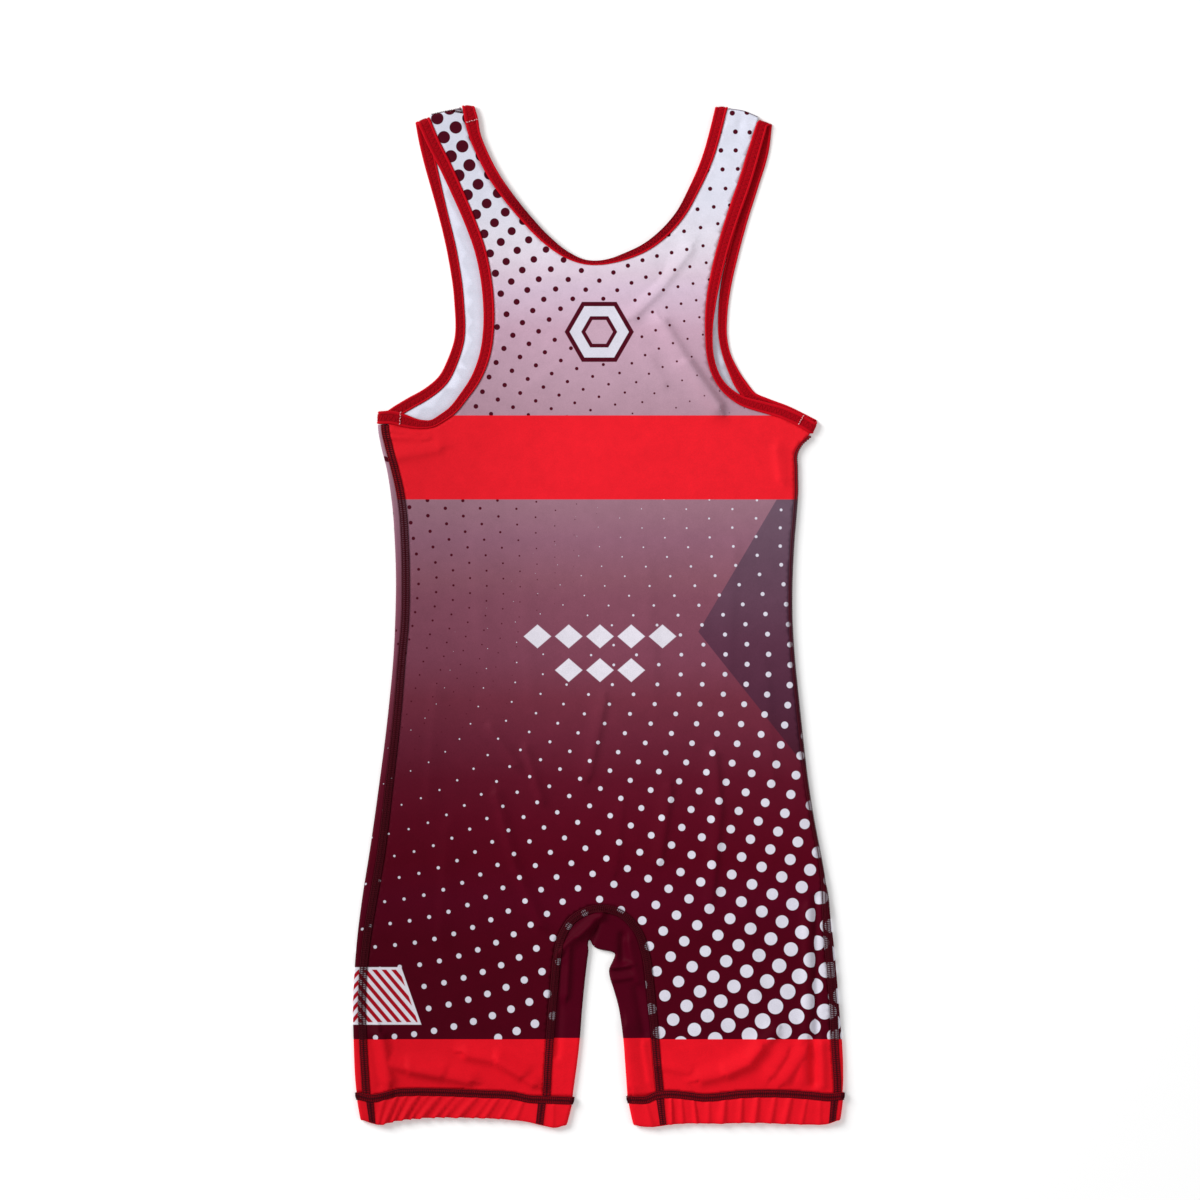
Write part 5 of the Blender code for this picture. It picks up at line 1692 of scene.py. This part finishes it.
def hem_line_surface(table, gathers, at):
    """A seam's last stretch, over the hem band down to its lower edge, at a place across the hem."""
    hem = leg_surface(table, SEAM_WIDTH / 2 + GAP, None, HEM_RISE, gathers)

    def surface(step, fractions):
        rows = spline(table, FOOT_GRID)
        grid = hem(FOOT_GRID, np.linspace(0.0, FOOT_END, round(FOOT_LENGTH / step) + 1))[:len(rows)]
        wanted = at + FOOT_HALF * (2 * fractions - 1)
        columns = [[np.interp(wanted, share_across(rows), grid[:, k, axis]) for axis in range(3)]
                   for k in range(grid.shape[1])]
        result = np.array(columns).transpose(0, 2, 1)
        result[..., 2] = result[..., 2].mean(axis=1, keepdims=True) + FOOT_RISE
        return result
    return surface


# ---------------------------------------------------------------------------------------- build

PANELS = (
    # piece, node, slot
    (back_panel(), "back_panel", "printed_jersey"),
    (front_panel(), "front_panel", "printed_jersey"),
    (crotch_gusset(), "crotch_gusset", "plain_jersey"),
)
for piece, node, slot in PANELS:
    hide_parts(node)

BINDINGS = {
    "neck_binding": (NECK_BACK, NECK_FRONT, STRAP_RIGHT, STRAP_LEFT, 1),
    "armhole_binding_left": (ARMHOLE_LEFT_BACK, ARMHOLE_LEFT_FRONT, STRAP_LEFT, SIDE_LEFT, 1),
    "armhole_binding_right": (ARMHOLE_RIGHT_BACK, ARMHOLE_RIGHT_FRONT, STRAP_RIGHT, SIDE_RIGHT, -1),
}
for name, settings in BINDINGS.items():
    surface = binding_surface(*settings)
    knit = "neck_binding" if name == "neck_binding" else "binding"
    tape = band(name + "_tape", surface, True, BINDING_PROFILE, BINDING_STEP, knit)
    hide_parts(name)
    for ending, wall in (("_stitches", 0.0), ("_stitches_inside", BINDING_WALL)):
        stitches = cover_stitches(name + ending, surface, True, BINDING_STITCH, "binding_thread", wall)


def flat_seam(name, surface, closed, material, node=None):
    """A flatlock or cover seam: its strip, which may replace a node, and its threads."""
    base = band(name + "_base", surface, closed, SEAM_PROFILE, SEAM_STEP, material, material == "seam")
    if node:
        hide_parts(node)
    cover_stitches(name + "_stitches", surface, closed, SEAM_STITCH, "thread")


SEAMS = {
    "side_seam_left": side_seam_surface(-1, UNDERARM_LEFT),
    "side_seam_right": side_seam_surface(1, UNDERARM_RIGHT),
    "gusset_seam_back": gusset_seam_surface(True),
    "gusset_seam_front": gusset_seam_surface(False),
    "shoulder_seam_left": shoulder_seam_surface(SHOULDER_LEFT, STRAP_LEFT, SHOULDER_SEAM_LEFT,
                                                SHOULDER_SPAN_LEFT),
    "shoulder_seam_right": shoulder_seam_surface(SHOULDER_RIGHT, STRAP_RIGHT, SHOULDER_SEAM_RIGHT,
                                                 SHOULDER_SPAN_RIGHT),
}
for name, surface in SEAMS.items():
    flat_seam(name, surface, False, "seam", name)

HEMS = {"left": (HEM_LEFT, GATHERS_LEFT), "right": (HEM_RIGHT, GATHERS_RIGHT)}
for hand, (table, gathers) in HEMS.items():
    surface = leg_surface(table, SEAM_WIDTH / 2 + GAP, None, HEM_RISE, gathers)
    hem = band("hem_" + hand + "_cloth", surface, True, HEM_PROFILE, HEM_STEP, "hem")
    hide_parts("hem_band_" + hand)
    surface = leg_surface(table, -SEAM_WIDTH / 2, SEAM_WIDTH / 2, HEM_SEAM_RISE)
    flat_seam("hem_seam_" + hand, surface, True, "hem_seam", "hem_seam_" + hand)

for name, hand, at in HEM_LINES:
    flat_seam(name, hem_line_surface(*HEMS[hand], at), False, "hem_seam")


def tack(name, x0, y0, x1, y1):
    """A row of short threads over a binding, each a little askew."""
    first, run = np.array([x0, y0]), np.array([x1 - x0, y1 - y0])
    number = np.arange(TACK_DASHES)[:, None]
    shares = (number + TACK_DASH) / TACK_DASHES
    askew = np.array([-run[1], run[0]]) * TACK_ASKEW * (-1.0) ** number
    ends = [first + run * shares[:, k, None] + askew * (1 - 2 * k) for k in range(2)]
    ends = [np.column_stack([at, height(at[:, 0], at[:, 1]) + BINDING_RISE + TACK_RISE]) for at in ends]
    ups = np.tile((0.0, 0.0, 1.0), (TACK_DASHES, 1))
    return threads(name, *ends, ups, TACK_RADIUS, TACK_BOW, TACK_FACES, "tack_thread")


for row in TACKS:
    tack(*row)


# --------------------------------------------------------------------------------------- stage

VIEW_CENTRE = (1.1, 13.1)    # where the camera looks, in the row frame
VIEW_SIDE = 960.0            # side of the square that it sees
VIEW_HEIGHT = 8000.0
SENSOR = 36.0
FLOOR_SIDE = 6.0
FLOOR_WHITE = "fbfbfb"
FLOOR_ROUGHNESS = 0.8
FLOOR_GAP = 0.2              # keeps the floor clear of the faces that lie on it
FLOOR_GLOW = 0.14            # keeps the floor white out to the picture's corners
WHITE = (1.0, 1.0, 1.0, 1.0)
SKY = 0.42
LIGHTS = (
    # name, x, y, z, size, watts
    ("key", -2.85, 1.6, 2.2, 2.0, 150.0),
    ("fill", 2.4, -1.0, 2.6, 2.0, 17.0),
)


def make_floor():
    bpy.ops.mesh.primitive_plane_add(size=FLOOR_SIDE)
    floor = bpy.context.object
    floor.name = "floor"
    material, _, shader = new_material("floor_paint", FLOOR_ROUGHNESS)
    shader.inputs["Base Color"].default_value = linear(FLOOR_WHITE)
    shader.inputs["Emission Color"].default_value = WHITE
    shader.inputs["Emission Strength"].default_value = FLOOR_GLOW
    floor.location.z = -FLOOR_GAP * MM
    floor.data.materials.append(material)


def make_camera(scene):
    """A camera straight above, far enough off to see the garment almost without perspective."""
    camera = bpy.data.objects.new("camera", bpy.data.cameras.new("camera"))
    camera.data.sensor_width = SENSOR
    camera.data.lens = SENSOR * VIEW_HEIGHT / VIEW_SIDE
    camera.location = (VIEW_CENTRE[0] * MM, VIEW_CENTRE[1] * MM, VIEW_HEIGHT * MM)
    scene.collection.objects.link(camera)
    scene.camera = camera


def make_lights(scene):
    """A white sky and two square lamps that face the origin."""
    scene.world = bpy.data.worlds.new("studio")
    scene.world.use_nodes = True
    sky = scene.world.node_tree.nodes["Background"]
    sky.inputs["Color"].default_value = WHITE
    sky.inputs["Strength"].default_value = SKY
    for name, x, y, z, size, watts in LIGHTS:
        data = bpy.data.lights.new(name, "AREA")
        data.size = size
        data.energy = watts
        light = bpy.data.objects.new(name, data)
        light.location = (x, y, z)
        light.rotation_mode = "QUATERNION"
        light.rotation_quaternion = Vector((-x, -y, -z)).to_track_quat("-Z", "Y")
        scene.collection.objects.link(light)


make_floor()
make_camera(bpy.context.scene)
make_lights(bpy.context.scene)
bpy.context.scene.view_settings.view_transform = "Standard"
